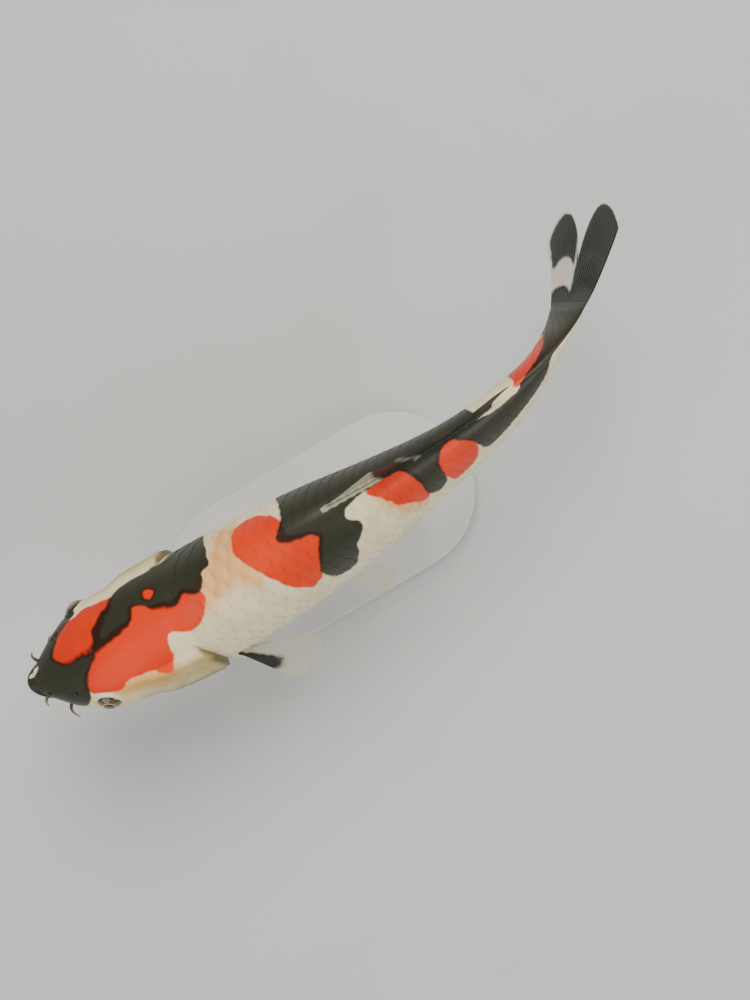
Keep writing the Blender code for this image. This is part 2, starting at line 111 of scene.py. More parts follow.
@dataclass
class BodyForm:
    """The body's shape along and around, and the pose that it is bent into.

    A share is a distance from the snout over the total length, and an angle runs round the section
    from the back (0) down the left side (pi / 2) to the belly (pi).
    """

    length: float = 0.230
    stations: tuple = (
        (0.000, 0.0000, 0.0000, 0.0000),
        (0.010, 0.0160, 0.0115, 0.0130),
        (0.030, 0.0295, 0.0235, 0.0270),
        (0.060, 0.0520, 0.0400, 0.0430),
        (0.095, 0.0690, 0.0560, 0.0580),
        (0.150, 0.0760, 0.0750, 0.0745),
        (0.210, 0.0780, 0.0905, 0.0870),
        (0.260, 0.0765, 0.1010, 0.0940),
        (0.340, 0.0740, 0.1115, 0.1000),
        (0.440, 0.0645, 0.1150, 0.0980),
        (0.540, 0.0490, 0.1020, 0.0865),
        (0.640, 0.0345, 0.0830, 0.0690),
        (0.740, 0.0260, 0.0630, 0.0510),
        (0.810, 0.0170, 0.0550, 0.0460),
        (0.870, 0.0120, 0.0570, 0.0490),
    )
    snout_drop: float = 0.010
    snout_drop_end: float = 0.150
    head_turn: float = math.radians(-9.0)
    head_turn_end: float = 0.32
    tail_turn: float = math.radians(61.0)
    tail_turn_middle: float = 0.808
    tail_turn_run: float = 0.082
    body_roll: float = math.radians(13.0)
    tail_fin_roll: float = math.radians(-20.0)
    roll_change: tuple = (0.70, 0.90)
    centre_share: float = 0.42
    axis_height: float = 0.060
    tail_end: float = 0.866
    tail_flattening: float = 0.42
    tail_flattening_start: float = 0.815
    closing: float = 0.80
    closing_run: tuple = (-0.004, 0.012)
    full_coat_width: float = 0.0040
    thinnest_coat: float = 0.08
    upper_curve: tuple = (1.92, 0.50, 0.09, 0.11)
    lower_curve: tuple = (2.05, 0.30, 0.34, 0.20)
    axis_span: tuple = (-0.10, 1.15)
    axis_points: int = 1251
    axis: tuple = field(init=False)

    def __post_init__(self) -> None:
        """Works out the bent axis once."""
        share = np.linspace(*self.axis_span, self.axis_points)
        turn = self.heading(share)
        step = (share[1] - share[0]) * self.length
        x = -np.cumsum(np.cos(turn)) * step
        y = -np.cumsum(np.sin(turn)) * step
        x -= np.interp(self.centre_share, share, x)
        y -= np.interp(self.centre_share, share, y)
        self.axis = (share * self.length, x, y)

    def measure(self, share: Array, column: Station) -> Array:
        """One column of the stations as a smooth curve over the root of the share.

        Args:
            share: Shares of the length.
            column: The half width, the back's height or the belly's depth.

        Returns:
            The measure at each share, as a share of the length.
        """
        table = np.array(self.stations)
        xs = np.sqrt(table[:, 0])
        ys = table[:, column]
        slopes = np.gradient(ys, xs)
        x = np.sqrt(np.clip(share, 0.0, table[-1, 0]))
        i = np.clip(np.searchsorted(xs, x, side="right") - 1, 0, len(xs) - 2)
        step = xs[i + 1] - xs[i]
        t = (x - xs[i]) / step
        return (
            (2 * t**3 - 3 * t**2 + 1) * ys[i]
            + (t**3 - 2 * t**2 + t) * step * slopes[i]
            + (-2 * t**3 + 3 * t**2) * ys[i + 1]
            + (t**3 - t**2) * step * slopes[i + 1]
        )

    def squareness(self, share: Array, curve: tuple) -> Array:
        """Power of the section's curve, to which a hump adds over a part of the length."""
        power, added, middle, width = curve
        return power + added * hump(share - middle, width)

    def flat(self, share: Array, angle: Array) -> Array:
        """Points on the straight fish's surface, flattened at the tail to meet its fin.

        Args:
            share: Shares of the length.
            angle: Angles round the section.

        Returns:
            Points in metres, x back from the snout.
        """
        share, angle = np.broadcast_arrays(np.asarray(share, float), np.asarray(angle, float))
        above = np.cos(angle) > 0
        upper = self.squareness(share, self.upper_curve)
        lower = self.squareness(share, self.lower_curve)
        power = 2.0 / np.where(above, upper, lower)
        side = np.sign(np.sin(angle)) * np.abs(np.sin(angle)) ** power
        height = np.where(above, self.measure(share, Station.BACK), -self.measure(share, Station.BELLY))
        rise = np.abs(np.cos(angle)) ** power * height
        drop = self.snout_drop * (1.0 - ease(share, 0.0, self.snout_drop_end))
        half_width = self.measure(share, Station.HALF_WIDTH) * self.tail_taper(share)
        return self.length * np.stack([share, half_width * side, rise - drop], axis=-1)

    def tail_taper(self, share: Array) -> Array:
        """Share of the half width that is left where the tail is flattened to meet its fin."""
        first = 1.0 - self.tail_flattening * ease(share, self.tail_flattening_start, self.tail_end)
        return first * (1.0 - self.closing * ease(share - self.tail_end, *self.closing_run))

    def slimness(self, share: Array) -> Array:
        """How much the coat thins where the tail is narrow: 1 on the body, less at the tail's end."""
        width = self.length * self.measure(share, Station.HALF_WIDTH) * self.tail_taper(share)
        return np.clip(width / self.full_coat_width, self.thinnest_coat, 1.0)

    def lifted(self, share: Array, angle: Array, lift: Array = 0.0) -> Array:
        """Points of the straight fish lifted off its surface along the normal.

        Args:
            share: Shares of the length.
            angle: Angles round the section.
            lift: Height over the surface in metres.

        Returns:
            Points of the straight fish.
        """
        step, first = 1e-3, 1e-6
        share, angle = np.broadcast_arrays(np.asarray(share, float), np.asarray(angle, float))
        along = self.flat(share + step, angle) - self.flat(np.maximum(share - step, first), angle)
        around = self.flat(share, angle + step) - self.flat(share, angle - step)
        normal = np.cross(along, around)
        normal /= np.linalg.norm(normal, axis=-1, keepdims=True) + TINY
        return self.flat(share, angle) + normal * np.asarray(lift, float)[..., None]

    def heading(self, share: Array) -> Array:
        """Turn of the axis from straight ahead, where a positive turn carries the tail right."""
        head = self.head_turn * (1.0 - ease(share, 0.0, self.head_turn_end))
        return head + self.tail_turn / (1.0 + np.exp(-(share - self.tail_turn_middle) / self.tail_turn_run))

    def posed(self, points: Array) -> Array:
        """Points of the straight fish, rolled, bent along the axis and raised over the floor.

        Args:
            points: Points of the straight fish.

        Returns:
            Points in the part's own frame.
        """
        x, y, z = points[..., 0], points[..., 1], points[..., 2]
        share = x / self.length
        change = ease(share, *self.roll_change)
        roll = self.body_roll + (self.tail_fin_roll - self.body_roll) * change
        turn = self.heading(share)
        out = y * np.cos(roll) - z * np.sin(roll)
        up = y * np.sin(roll) + z * np.cos(roll)
        centre_x = np.interp(x, self.axis[0], self.axis[1])
        centre_y = np.interp(x, self.axis[0], self.axis[2])
        return np.stack(
            [centre_x - out * np.sin(turn), centre_y + out * np.cos(turn), self.axis_height + up], axis=-1
        )


@dataclass(frozen=True)
class GillCover:
    """The plate on each side of the head and the curved line where the head ends."""

    front: float = 0.150
    rear: float = 0.247
    sweep: float = 0.035
    top: float = math.radians(48.0)
    widest: float = math.radians(92.0)
    bottom: float = math.radians(150.0)
    bend_span: tuple = (0.12, 0.38)
    thickness: tuple = (0.0006, 0.0017)
    root_gap: float = 0.0005
    fit: float = 0.93
    upper_fade: float = 0.16
    lower_fade: float = 0.30
    front_ramp: float = 0.030
    edge_run: float = 0.0022
    rounding: float = 0.22
    rounding_run: float = 0.008

    def setback(self, angle: Array) -> Array:
        """How far the head's rear line lies before its rearmost point, as a share below zero."""
        off = (np.clip(np.abs(angle), self.top, self.bottom) - self.widest) / (self.bottom - self.widest)
        return -self.sweep * off**2

    def place(self, row: Array, angle: Array) -> Array:
        """Share of the length at a row of the skin, where rows bend along the head's rear line."""
        start, end = self.bend_span
        return row + self.setback(angle) * plateau(row, (start, self.rear), (self.rear, end))

    def lift(self, row: Array, angle: Array) -> Array:
        """Height of the plate's outer face over the head, which drops to nothing behind its free edge.

        Args:
            row: Rows of the skin.
            angle: Angles round the section.

        Returns:
            Heights in metres.
        """
        size = np.abs(angle)
        fall = (self.bottom - self.lower_fade, self.bottom)
        inside = plateau(size, (self.top, self.top + self.upper_fade), fall)
        along = np.clip((row - self.front) / (self.rear - self.front), 0.0, 1.0)
        thick = self.thickness[0] + (self.thickness[1] - self.thickness[0]) * along
        ramp = ease(row, self.front, self.front + self.front_ramp)
        free_edge = 1.0 - ease(row, self.rear, self.rear + self.edge_run)
        rounded = 1.0 - self.rounding * ease(row, self.rear - self.rounding_run, self.rear)
        return (self.root_gap + thick) * inside * ramp * free_edge * rounded * self.fit


@dataclass(frozen=True)
class Mouth:
    """The mouth's line, from its middle to the corners, and the lips along it."""

    front: float = 0.0016
    front_height: float = -0.0024
    corner_height: float = -0.0052
    half_width: float = 0.0061
    run: float = 0.0070
    line_end: float = 1.3
    corner_fade: tuple = (0.90, 1.12)
    rear_fade: tuple = (0.0010, 0.0034)
    lip_reach: float = 0.00115
    lip_swell: float = 0.00050
    lip_width: float = 0.00075
    crease: float = 0.0016
    crease_width: float = 0.00034
    fold: float = 0.00030
    fold_reach: float = 0.0029
    fold_width: float = 0.00050
    clearance: float = 0.0010
    clearance_run: float = 0.0085
    lower_setback: float = 0.0006
    lower_span: tuple = (0.0026, 0.0040)

    def lift(self, point: Array) -> Array:
        """Height of the lips and depth of the crease between them.

        Args:
            point: Points of the straight fish.

        Returns:
            Heights over the surface in metres.
        """
        x, y, z = point[..., 0], np.abs(point[..., 1]), point[..., 2]
        t = np.clip(y / self.half_width, 0.0, self.line_end)
        line_x = self.front + self.run * (1.0 - np.cos(np.minimum(t, 1.0) * math.pi / 2))
        line_z = self.front_height + (self.corner_height - self.front_height) * t**2
        off = z - line_z
        inside = 1.0 - ease(t, *self.corner_fade)
        inside = inside * (1.0 - ease(x - line_x, *self.rear_fade))
        swell = self.lip_swell * hump(np.abs(off) - self.lip_reach, self.lip_width)
        crease = self.crease * hump(off, self.crease_width)
        fold = self.fold * hump(np.abs(off) - self.fold_reach, self.fold_width)
        return inside * (swell - crease - fold)

    def shift(self, point: Array) -> Array:
        """How far back the tip of the snout is set, so that the lips stay within the head."""
        lower = self.lower_setback * ease(-point[..., 2], *self.lower_span)
        return (self.clearance + lower) * (1.0 - ease(point[..., 0], 0.0, self.clearance_run))


@dataclass(frozen=True)
class EyeSocket:
    """Where an eye sits and how the skin closes round it."""

    share: float = 0.100
    angle: float = math.radians(70.0)
    radius: float = 0.0041
    half_depth: float = 0.0034
    sunk: float = 0.0019
    opening: float = 0.00335
    pit_depth: float = 0.0030
    pit_wall: float = 0.0008
    rim: tuple = (0.00042, 0.00035, 0.00050)
    groove: tuple = (0.00022, 0.00165, 0.00050)

    def lift(self, distance: Array) -> Array:
        """Height of the skin at a distance in metres from the eye's centre.

        Args:
            distance: Distances over the skin in metres.

        Returns:
            Heights in metres: a pit under the eye, a soft rim and a shallow groove round that.
        """
        pit = self.pit_depth * (1.0 - ease(distance, self.opening - self.pit_wall, self.opening))
        rim, groove = (
            height * hump(distance - self.opening - out, width)
            for height, out, width in (self.rim, self.groove)
        )
        return rim - pit - groove


@dataclass(frozen=True)
class Nostril:
    """A pair of openings on each side of the snout with a flap of skin between them."""

    share: float = 0.062
    angle: float = math.radians(45.0)
    apart: float = 0.0066
    radius: float = 0.00055
    front_pit: tuple = (-0.0009, 1.0)
    rear_pit: tuple = (-0.0011, 1.25)
    flap: tuple = (0.00045, 0.9)
    flap_place: float = -0.0004

    def lift(self, body: BodyForm, point: Array) -> Array:
        """Depth of the two pits and height of the flap between them.

        Args:
            body: The body's form.
            point: Points of the straight fish, folded onto its left side.

        Returns:
            Heights in metres.
        """
        height = np.zeros(point.shape[:-1])
        half = self.apart / 2
        parts = ((-half, self.front_pit), (half, self.rear_pit), (self.flap_place, self.flap))
        for place, (rise, width) in parts:
            centre = body.flat(self.share + place, self.angle)
            height += rise * hump(np.linalg.norm(point - centre, axis=-1), self.radius * width)
        return height


def folded_left(point: Array) -> Array:
    """Points of the straight fish, those of the right side folded onto the left."""
    return point * np.array([1.0, 0.0, 1.0]) + np.abs(point) * np.array([0.0, 1.0, 0.0])


def catmull_rom(points: Array, steps: int) -> Array:
    """A smooth closed line through points.

    Args:
        points: The line's own points.
        steps: Points made for each of them.

    Returns:
        The points of the smooth line.
    """
    before, start = np.roll(points, 1, 0)[:, None], points[:, None]
    end, after = np.roll(points, -1, 0)[:, None], np.roll(points, -2, 0)[:, None]
    t = (np.arange(steps) / steps)[None, :, None]
    line = start + 0.5 * t * (
        end - before + t * (2 * before - 5 * start + 4 * end - after)
        + t * t * (3 * (start - end) + after - before)
    )
    return line.reshape(-1, points.shape[1])


MARKING_SCALE = np.array([230.0, 0.28])
EDGE_REACH = 9.0
OUTLINE_STEPS = 6


@dataclass(frozen=True)
class Marking:
    """A patch of colour, as a smooth closed outline of (share, degrees from the back) points.

    The scale turns a share and a degree into millimetres of skin, and the reach is the distance in
    millimetres past which a point only counts as outside.
    """

    pigment: Pigment
    outline: tuple

    def depth(self, share: Array, degrees: Array) -> Array:
        """How deep points lie inside the outline, in millimetres, and below zero outside it.

        Args:
            share: Shares of the length.
            degrees: Degrees from the back.

        Returns:
            Depths, no further out than the reach that the edges need.
        """
        least = 1e-12
        line = catmull_rom(np.array(self.outline, float) * MARKING_SCALE, OUTLINE_STEPS)
        point = np.stack([share, degrees], axis=-1) * MARKING_SCALE
        depth = np.full(len(point), -EDGE_REACH)
        low, high = line.min(0) - EDGE_REACH, line.max(0) + EDGE_REACH
        near = np.flatnonzero(((point > low) & (point < high)).all(-1))
        here = point[near]
        best = np.full(len(here), EDGE_REACH**2)
        inside = np.zeros(len(here), bool)
        for start, end in zip(line, np.roll(line, -1, 0)):
            side = end - start
            t = np.clip((here - start) @ side / (side @ side + least), 0.0, 1.0)
            best = np.minimum(best, ((here - start - t[:, None] * side) ** 2).sum(-1))
            crosses = (start[1] > here[:, 1]) != (end[1] > here[:, 1])
            rise = side[1] if abs(side[1]) > least else least
            inside ^= crosses & (here[:, 0] < side[0] * (here[:, 1] - start[1]) / rise + start[0])
        depth[near] = np.where(inside, 1.0, -1.0) * np.sqrt(best)
        return depth


MARKINGS = {
    "snout cap": Marking(Pigment.BLACK, (
        (-0.020, -130), (-0.030, 0), (-0.020, 130), (0.040, 112), (0.060, 88), (0.075, 68),
        (0.084, 46), (0.089, 28), (0.100, 14), (0.114, 4), (0.098, 1), (0.066, -2),
        (0.055, -12), (0.062, -27), (0.074, -37), (0.094, -42), (0.104, -60), (0.102, -84),
        (0.086, -106), (0.048, -122),
    )),
    "crown band": Marking(Pigment.BLACK, (
        (0.098, 4), (0.112, -2), (0.120, -13), (0.132, -20), (0.146, -25), (0.155, -35),
        (0.168, -43), (0.190, -47), (0.213, -48), (0.238, -51), (0.249, -64), (0.253, -90),
        (0.268, -100), (0.292, -92), (0.301, -68), (0.303, -44), (0.301, -24), (0.297, -12), (0.284, -9),
        (0.279, 0), (0.268, 7), (0.252, 1), (0.236, 5), (0.222, 1), (0.207, -4), (0.197, -10),
        (0.182, -13), (0.176, -3), (0.150, 1), (0.124, 5),
    )),
    "back saddle": Marking(Pigment.BLACK, (
        (0.398, -112), (0.405, -62), (0.405, -30), (0.398, -12), (0.386, 1), (0.391, 10),
        (0.409, 13), (0.429, 20), (0.425, 30), (0.415, 42), (0.411, 55), (0.416, 67),
        (0.428, 78), (0.448, 79), (0.459, 68), (0.467, 54), (0.481, 42), (0.482, 33),
        (0.474, 23), (0.478, 13), (0.493, 8), (0.513, 6), (0.533, 3), (0.556, 6), (0.567, 20),
        (0.572, 38), (0.573, 54), (0.579, 66), (0.592, 71), (0.603, 60), (0.604, 40),
        (0.608, 23), (0.622, 11), (0.637, 12), (0.655, 12), (0.678, 8), (0.676, -30),
        (0.674, -72), (0.660, -112), (0.560, -124), (0.470, -120),
    )),
    "tail bar": Marking(Pigment.BLACK, (
        (0.636, 14), (0.662, 8), (0.681, 9), (0.692, 16), (0.707, 20), (0.722, 18), (0.738, 16),
        (0.748, 5), (0.758, -5), (0.775, -20), (0.794, -38), (0.812, -62), (0.826, -98),
        (0.828, -150), (0.905, -172), (0.905, -2), (0.850, -1), (0.816, 3), (0.799, 9),
        (0.791, 21), (0.786, 35), (0.776, 49), (0.750, 59), (0.715, 67), (0.685, 72),
        (0.664, 66), (0.656, 46), (0.650, 27),
    )),
    "tail wash": Marking(Pigment.BLACK, (
        (0.905, 84), (0.905, 178), (0.858, 172), (0.844, 150), (0.850, 122), (0.864, 104), (0.874, 92),
    )),
    "lip opening": Marking(Pigment.BARE, ((0.007, -46), (0.006, -24), (0.016, -15), (0.025, -31))),
    "shoulder opening": Marking(Pigment.BARE, ((0.202, -19), (0.208, -23), (0.216, -18), (0.208, -13))),
    "forehead patch": Marking(Pigment.RED, (
        (0.060, -1), (0.048, -13), (0.054, -28), (0.070, -40), (0.100, -41), (0.122, -43), (0.146, -39),
        (0.160, -34), (0.150, -20), (0.126, -4), (0.112, 4), (0.090, 3), (0.072, 1),
    )),
    "crown patch": Marking(Pigment.RED, (
        (0.098, 12), (0.118, 2), (0.150, -4), (0.172, -6), (0.179, -16), (0.192, -14),
        (0.206, -8), (0.236, -2), (0.252, -4), (0.268, 2), (0.274, 11), (0.266, 22), (0.252, 31),
        (0.240, 33), (0.226, 28), (0.212, 23), (0.206, 34), (0.202, 45), (0.190, 56),
        (0.176, 52), (0.164, 46), (0.140, 46), (0.120, 52), (0.100, 47), (0.083, 41),
        (0.082, 26), (0.090, 17),
    )),
    "shoulder spot": Marking(Pigment.RED, ((0.198, -18), (0.208, -26), (0.220, -18), (0.208, -10))),
    "back patch": Marking(Pigment.RED, (
        (0.331, -10), (0.337, -28), (0.350, -39), (0.372, -39), (0.390, -31), (0.400, -14),
        (0.400, 4), (0.420, 12), (0.434, 20), (0.428, 34), (0.418, 46), (0.410, 60),
        (0.393, 67), (0.381, 60), (0.370, 49), (0.354, 34), (0.344, 20), (0.335, 4),
    )),
    "loin patch": Marking(Pigment.RED, (
        (0.508, 8), (0.530, 2), (0.560, 4), (0.574, 24), (0.576, 46), (0.578, 62), (0.564, 66),
        (0.550, 56), (0.534, 44), (0.521, 26),
    )),
    "flank patch": Marking(Pigment.RED, (
        (0.602, 30), (0.610, 14), (0.630, 9), (0.648, 18), (0.656, 36), (0.654, 62), (0.642, 76),
        (0.616, 77), (0.604, 60),
    )),
    "tail patch": Marking(Pigment.RED, (
        (0.739, 4), (0.745, -20), (0.747, -48), (0.752, -78), (0.776, -92), (0.818, -98),
        (0.834, -72), (0.814, -34), (0.784, -10), (0.756, 6),
    )),
    "nape blush": Marking(Pigment.BLUSH, (
        (0.262, 4), (0.282, -10), (0.304, -24), (0.316, -42), (0.336, -46), (0.350, -30),
        (0.350, 20), (0.338, 34), (0.312, 20), (0.288, 22), (0.266, 28),
    )),
    "cheek blush": Marking(Pigment.BLUSH, (
        (0.118, 50), (0.150, 46), (0.196, 50), (0.186, 66), (0.130, 64),
    )),
    "flank blush": Marking(Pigment.BLUSH, (
        (0.514, 20), (0.560, 60), (0.574, 74), (0.548, 70), (0.524, 44),
    )),
}


class MarkingMap:
    """Writes onto a mesh how deep each point lies in each pigment."""

    def depths(self, share: Array, angle: Array) -> dict[str, Array]:
        """Depths of every pigment at points of the body.

        Args:
            share: Shares of the length.
            angle: Angles round the section.

        Returns:
            A depth in millimetres for each point by the pigment's name, and its share of the way
            from the back to the belly.
        """
        turn = np.arctan2(np.sin(angle), np.cos(angle))
        degrees = np.degrees(turn)
        found = {}
        for pigment in Pigment:
            patches = [mark for mark in MARKINGS.values() if mark.pigment is pigment]
            found[pigment.value] = np.max([patch.depth(share, degrees) for patch in patches], axis=0)
        found["black"] = np.minimum(found["black"], -found.pop("bare"))
        found["belly"] = np.abs(turn) / math.pi
        return found

    def paint(self, obj: Piece, share: Array, angle: Array) -> None:
        """Stores the depths as attributes of the mesh's points."""
        for name, depth in self.depths(share.ravel(), angle.ravel()).items():
            store(obj, name, depth)


def store(obj: Piece, name: str, values: Array) -> None:
    """Stores one number for each point of a mesh as an attribute of that name."""
    layer = obj.data.attributes.new(name, "FLOAT", "POINT")
    layer.data.foreach_set("value", np.ascontiguousarray(values, np.float32).ravel())


def grid_quads(rows: int, columns: int, closed: bool) -> Array:
    """Quads of a grid of points.

    Args:
        rows: Rows of points.
        columns: Points in each row.
        closed: Whether the last column meets the first.

    Returns:
        Four point numbers for each quad.
    """
    i = np.arange(rows - 1)[:, None]
    j = np.arange(columns if closed else columns - 1)[None, :]
    k = (j + 1) % columns
    corners = (i * columns + j, i * columns + k, (i + 1) * columns + k, (i + 1) * columns + j)
    return np.stack(np.broadcast_arrays(*corners), axis=-1).reshape(-1, 4)


def round_angles(count: int) -> Array:
    """Evenly spaced angles once round."""
    return np.arange(count) * 2.0 * math.pi / count


def sheet_faces(rows: int, columns: int) -> Array:
    """Faces of a thin closed sheet: its upper side, its lower side and the rim between them.

    Args:
        rows: Rows of points on a side.
        columns: Points in each row.

    Returns:
        Four point numbers for each face.
    """
    top = grid_quads(rows, columns, closed=False)
    size = rows * columns
    ring = (
        list(range(columns))
        + [i * columns + columns - 1 for i in range(1, rows)]
        + [(rows - 1) * columns + j for j in range(columns - 2, -1, -1)]
        + [i * columns for i in range(rows - 2, 0, -1)]
    )
    rim = [(b, a, a + size, b + size) for a, b in zip(ring, ring[1:] + ring[:1])]
    return np.concatenate([top, top[:, ::-1] + size, np.array(rim)])


def make_object(name: str, points: Array, faces: list, smooth_angle: float = 180.0) -> Piece:
    """Makes a mesh object with smooth shading.

    Args:
        name: The piece's name.
        points: Points in the part's own frame.
        faces: Point numbers of each face.
        smooth_angle: Angle in degrees over which an edge stays sharp.

    Returns:
        The object, linked to the scene.
    """
    mesh = bpy.data.meshes.new(name)
    mesh.from_pydata(points.reshape(-1, 3).tolist(), [], faces)
    mesh.update()
    mesh.shade_smooth()
    if smooth_angle < 180.0:
        mesh.set_sharp_from_angle(angle=math.radians(smooth_angle))
    obj = bpy.data.objects.new(name, mesh)
    bpy.context.scene.collection.objects.link(obj)
    return obj


def face_outward(obj: Piece) -> None:
    """Turns a closed mesh's faces outward.

    Args:
        obj: The mesh's object.
    """
    work = bmesh.new()
    work.from_mesh(obj.data)
    bmesh.ops.recalc_face_normals(work, faces=work.faces)
    work.to_mesh(obj.data)
    work.free()


class NodeSheet:
    """Places and links shader nodes in a material or a node group."""

    across = 180
    down = -220
    columns = 12

    def __init__(self, tree: bpy.types.NodeTree) -> None:
        """Starts on a tree without nodes."""
        self.tree = tree

    def give(self, socket: Socket, value: object) -> None:
        """Links an input or sets it to a constant.

        Args:
            socket: The input.
            value: A constant, or the socket to link.
        """
        if isinstance(value, Socket):
            self.tree.links.new(value, socket)
        else:
            socket.default_value = value

    def feed(self, node: Node, values: dict) -> None:
        """Links or sets several inputs of a node, each by its name or number."""
        for name, value in values.items():
            self.give(node.inputs[name], value)

    def add(self, kind: str, values: dict | None = None, **settings: object) -> Node:
        """Adds a node.

        Args:
            kind: The node's type.
            values: Input names or numbers with a constant or a socket to link.
            settings: The node's own settings.

        Returns:
            The node.
        """
        row, column = divmod(len(self.tree.nodes), self.columns)
        node = self.tree.nodes.new(kind)
        node.location = (self.across * column, self.down * row)
        for name, value in settings.items():
            setattr(node, name, value)
        self.feed(node, values or {})
        return node

    def math(self, operation: str, a: object, b: object = 0.0, clamp: bool = False) -> Socket:
        """A Math node's result for two values or sockets."""
        return self.add("ShaderNodeMath", {0: a, 1: b}, operation=operation, use_clamp=clamp).outputs[0]

    def plus(self, a: object, b: object, clamp: bool = False) -> Socket:
        """The sum of two values."""
        return self.math("ADD", a, b, clamp)

    def minus(self, a: object, b: object) -> Socket:
        """The difference of two values."""
        return self.math("SUBTRACT", a, b)

    def times(self, a: object, b: object, clamp: bool = False) -> Socket:
        """The product of two values."""
        return self.math("MULTIPLY", a, b, clamp)

    def rest(self, value: Socket) -> Socket:
        """What a share leaves of the whole."""
        return self.minus(1.0, value)

    def larger(self, a: object, b: object) -> Socket:
        """The larger of two values."""
        return self.math("MAXIMUM", a, b)

    def wave(self, value: Socket, count: float) -> Socket:
        """A wave that runs along a value, with a crest every two pi over the count."""
        return self.math("SINE", self.times(value, count))

    def band(self, value: Socket, low: object, high: object) -> Socket:
        """A smooth rise from 0 at low to 1 at high."""
        inputs = {"Value": value, "From Min": low, "From Max": high}
        return self.add("ShaderNodeMapRange", inputs, interpolation_type="SMOOTHSTEP").outputs["Result"]

    def mix(self, factor: object, a: object, b: object) -> Socket:
        """A colour between two colours.

        Args:
            factor: Share of the second colour.
            a: The first colour or its socket.
            b: The second colour or its socket.

        Returns:
            The mixed colour.
        """
        node = self.add("ShaderNodeMix", data_type="RGBA")
        inputs = {socket.identifier: socket for socket in node.inputs}
        for name, value in (("Factor_Float", factor), ("A_Color", a), ("B_Color", b)):
            self.give(inputs[name], value)
        return next(socket for socket in node.outputs if socket.identifier == "Result_Color")

    def own_frame(self) -> Socket:
        """Places in the part's own frame."""
        return self.add("ShaderNodeTexCoord").outputs["Object"]

    def noise(self, scale: object, detail: float = 3.0) -> Socket:
        """A noise pattern over the part's own frame, finer at a larger scale."""
        values = {"Vector": self.own_frame(), "Scale": scale, "Detail": detail}
        return self.add("ShaderNodeTexNoise", values).outputs["Fac"]

    def wander(self, scale: float, detail: float, amount: float) -> Socket:
        """Noise about zero, as wide as the amount."""
        return self.times(self.minus(self.noise(scale, detail), 0.5), amount)

    def attribute(self, name: str) -> Socket:
        """A number stored on the mesh."""
        return self.add("ShaderNodeAttribute", attribute_name=name).outputs["Fac"]

    def bump(self, height: Socket, distance: float, strength: float) -> Socket:
        """A normal from a height."""
        values = {"Height": height, "Distance": distance, "Strength": strength}
        return self.add("ShaderNodeBump", values).outputs["Normal"]


class Effect(ABC):
    """A node group that several materials use, built once."""

    name: str
    inputs: tuple
    outputs: tuple

    @abstractmethod
    def wire(self, sheet: NodeSheet, source: Node, sink: Node) -> None:
        """Places the group's nodes between its inputs and outputs."""

    def tree(self) -> bpy.types.NodeTree:
        """The group's node tree, made the first time it is asked for.

        Returns:
            The tree.
        """
        found = bpy.data.node_groups.get(self.name)
        if found:
            return found
        tree = bpy.data.node_groups.new(self.name, "ShaderNodeTree")
        for label, kind, default in self.inputs:
            socket = tree.interface.new_socket(label, in_out="INPUT", socket_type=kind)
            socket.default_value = default
        for label, kind in self.outputs:
            tree.interface.new_socket(label, in_out="OUTPUT", socket_type=kind)
        sheet = NodeSheet(tree)
        self.wire(sheet, sheet.add("NodeGroupInput"), sheet.add("NodeGroupOutput"))
        return tree

    def place(self, sheet: NodeSheet, values: dict) -> Node:
        """Puts the group into a material with the material's own values."""
        return sheet.add("ShaderNodeGroup", values, node_tree=self.tree())


FLOAT = "NodeSocketFloat"
COLOUR = "NodeSocketColor"


